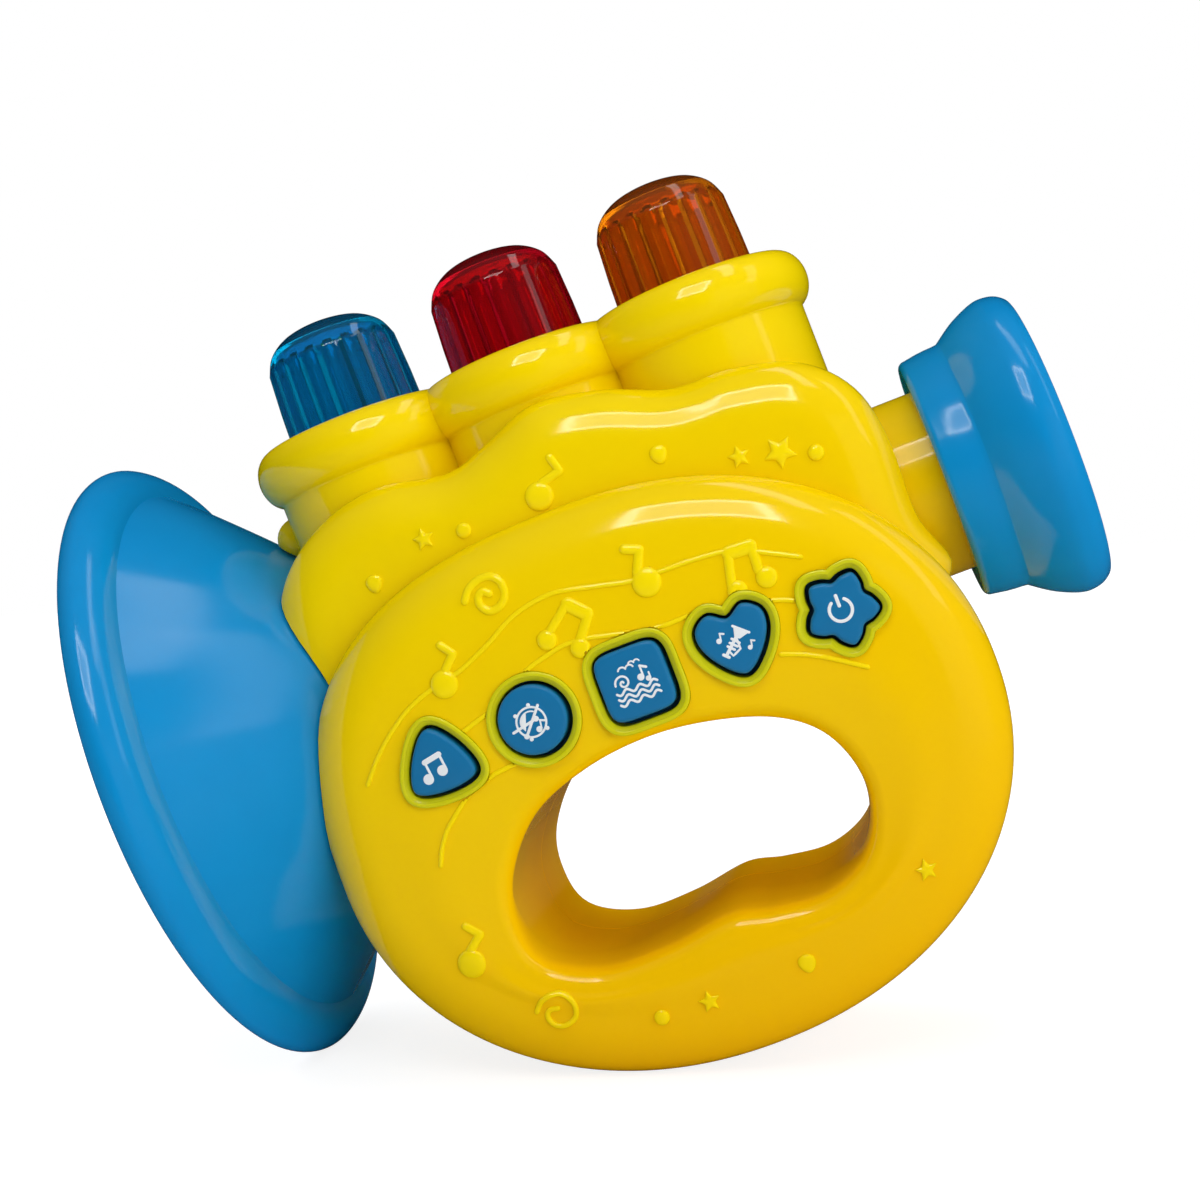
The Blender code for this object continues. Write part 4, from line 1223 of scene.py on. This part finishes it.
# What is seen straight, in mirror-bright metal or through clear parts, is white; other gloss sees a dim room
def white_seen(material, ray):
    """1 for a ray that sees the white surroundings, otherwise 0."""
    clear = add(material, "ShaderNodeMath", {"operation": "ADD"},
                [(0, ray, "Is Camera Ray"), (1, ray, "Transmission Depth")])
    return add(material, "ShaderNodeMath", {"operation": "MULTIPLY_ADD", "use_clamp": True},
               [(0, ray, "Is Glossy Ray"), (1, ray, "Is Singular Ray"), (2, clear, "Value")])


# White paper floor: it throws light up at the toy, keeps the toy's shadow and fades to pure white further out
FLOOR_HALF = 4
floor_material = bpy.data.materials.new("matt_white_paper")
floor_material.use_nodes = True
join = floor_material.node_tree.links.new
floor_shader = floor_material.node_tree.nodes["Principled BSDF"]
floor_shader.inputs["Roughness"].default_value = 0.9
floor_shader.inputs["Specular IOR Level"].default_value = 0.0
floor_shader.inputs["Emission Color"].default_value = (1, 1, 1, 1)
ray = add(floor_material, "ShaderNodeLightPath")
bounce = add(floor_material, "ShaderNodeMapRange", {"To Min": 0.03, "To Max": 0.90},
             [("Value", ray, "Is Diffuse Ray")])
paper = add(floor_material, "ShaderNodeMath", {"operation": "MULTIPLY_ADD", 1: 0.27},
            [(0, ray, "Is Camera Ray"), (2, bounce, "Result")])
join(paper.outputs["Value"], floor_shader.inputs["Base Color"])
place = add(floor_material, "ShaderNodeTexCoord")
away = add(floor_material, "ShaderNodeVectorMath", {"operation": "LENGTH"}, [(0, place, "Object")])
bright = add(floor_material, "ShaderNodeMapRange",
             {"From Min": 0.15, "From Max": 0.45, "To Min": 0.84, "To Max": 1.0}, [("Value", away, "Value")])
lift = add(floor_material, "ShaderNodeMath", {"operation": "MULTIPLY"},
           [(0, white_seen(floor_material, ray), "Value"), (1, bright, "Result")])
join(lift.outputs["Value"], floor_shader.inputs["Emission Strength"])
corners = [(x * FLOOR_HALF, y * FLOOR_HALF, 0) for x, y in ((-1, -1), (1, -1), (1, 1), (-1, 1))]
floor = solid("floor", (corners, [(0, 1, 2, 3)]))
floor.data.materials.append(floor_material)

# The world's soft light comes most from the sides and from above. Moulded gloss sees a room that is pale
# above and dark behind the toy
world = bpy.data.worlds.new("studio")
scene.world = world
world.use_nodes = True
sky = world.node_tree.nodes["Background"]
sky.inputs["Color"].default_value = (1, 1, 1, 1)
ray = add(world, "ShaderNodeLightPath")
place = add(world, "ShaderNodeTexCoord")
way = add(world, "ShaderNodeSeparateXYZ", links=[("Vector", place, "Generated")])
side = add(world, "ShaderNodeMapRange", {"From Min": -1.0, "From Max": 0.3, "To Min": 0.08, "To Max": 0.84},
           [("Value", way, "Y")])
behind = add(world, "ShaderNodeMapRange", {"From Min": 0.25, "From Max": 1.0, "To Min": 1.0, "To Max": 0.3},
             [("Value", way, "Y")])
soft = add(world, "ShaderNodeMath", {"operation": "MULTIPLY"}, [(0, side, "Result"), (1, behind, "Result")])
above = add(world, "ShaderNodeMapRange", {"From Min": 0.2, "From Max": 1.0, "To Min": 0.01, "To Max": 0.12},
            [("Value", way, "Z")])
far = add(world, "ShaderNodeMapRange", {"From Min": 0.0, "From Max": 0.6, "To Min": 1.0, "To Max": 0.1},
          [("Value", way, "Y")])
room = add(world, "ShaderNodeMath", {"operation": "MULTIPLY"}, [(0, above, "Result"), (1, far, "Result")])
dull = add(world, "ShaderNodeMix", {"data_type": "FLOAT"},
           [("Factor", ray, "Is Glossy Ray"), ("A", soft, "Value"), ("B", room, "Value")])
glow = add(world, "ShaderNodeMix", {"data_type": "FLOAT", "B": 1.0},
           [("Factor", white_seen(world, ray), "Value"), ("A", dull, "Result")])
world.node_tree.links.new(glow.outputs["Result"], sky.inputs["Strength"])


def panel(name, place, aim, width, height, glow, shift=(0, 0, 0), turn=0, in_gloss=True):
    """A flat lamp; a glow of 1 looks as bright as lit white paper. Shift moves it along its own axes."""
    light = bpy.data.lights.new(name, "AREA")
    light.shape = "RECTANGLE"
    light.size = width
    light.size_y = height
    light.energy = glow * math.pi * width * height
    obj = bpy.data.objects.new(name, light)
    scene.collection.objects.link(obj)
    face = (Vector(aim) - Vector(place)).to_track_quat("-Z", "Y").to_matrix().to_4x4()
    face = face @ Matrix.Rotation(math.radians(turn), 4, "Z")
    obj.matrix_world = Matrix.Translation(place) @ face @ Matrix.Translation(shift)
    obj.visible_camera = False
    obj.visible_glossy = in_gloss


# A square softbox with a bright border, a strip overhead and a broad dim wall are what the gloss shows. Two
# large lamps that it doesn't show light the toy from the right in front and from the left behind
TOY = (0.0, 0.0, 0.10)
SOFTBOX = (0.0, -0.31, 0.40)
BOX = 0.17
BORDER = 0.018
panel("front_softbox", SOFTBOX, TOY, BOX, BOX, 2.0)
for side, (x, y) in enumerate(((BOX / 2, 0), (-BOX / 2, 0), (0, BOX / 2), (0, -BOX / 2)), 1):
    wide = BORDER if x else BOX
    high = BORDER if y else BOX
    panel("front_softbox_edge_%d" % side, SOFTBOX, TOY, wide, high, 8.0, (x, y, -0.002))
panel("top_strip", (0.08, -0.045, 0.40), (-0.08, -0.045, 0.095), 0.25, 0.045, 1.8, turn=33)
panel("right_wall", (0.59, -0.21, 0.675), (-0.065, -0.04, 0.083), 0.14, 0.65, 0.9, turn=-23)
panel("key_light", (0.70, -0.65, 0.15), TOY, 0.90, 0.90, 2.1, in_gloss=False)
panel("back_light", (-0.50, 0.68, 0.55), TOY, 0.80, 0.80, 2.4, in_gloss=False)

# The camera is fitted to the outlines of bell, rims, keys and mouthpiece, in the toy's own axes
camera_data = bpy.data.cameras.new("camera")
camera_data.sensor_fit = "HORIZONTAL"
camera_data.sensor_width = 36.0
camera_data.lens = 57.0
camera_data.clip_start = 0.01
camera = bpy.data.objects.new("camera", camera_data)
scene.collection.objects.link(camera)
camera.matrix_world = STANCE @ Matrix((
    (0.92344, 0.35453, 0.14684, 0.05658),
    (0.14025, 0.04440, -0.98912, -0.39877),
    (-0.35720, 0.93398, -0.00873, -0.00083),
    (0, 0, 0, 1),
))
scene.camera = camera
scene.view_settings.view_transform = "Standard"
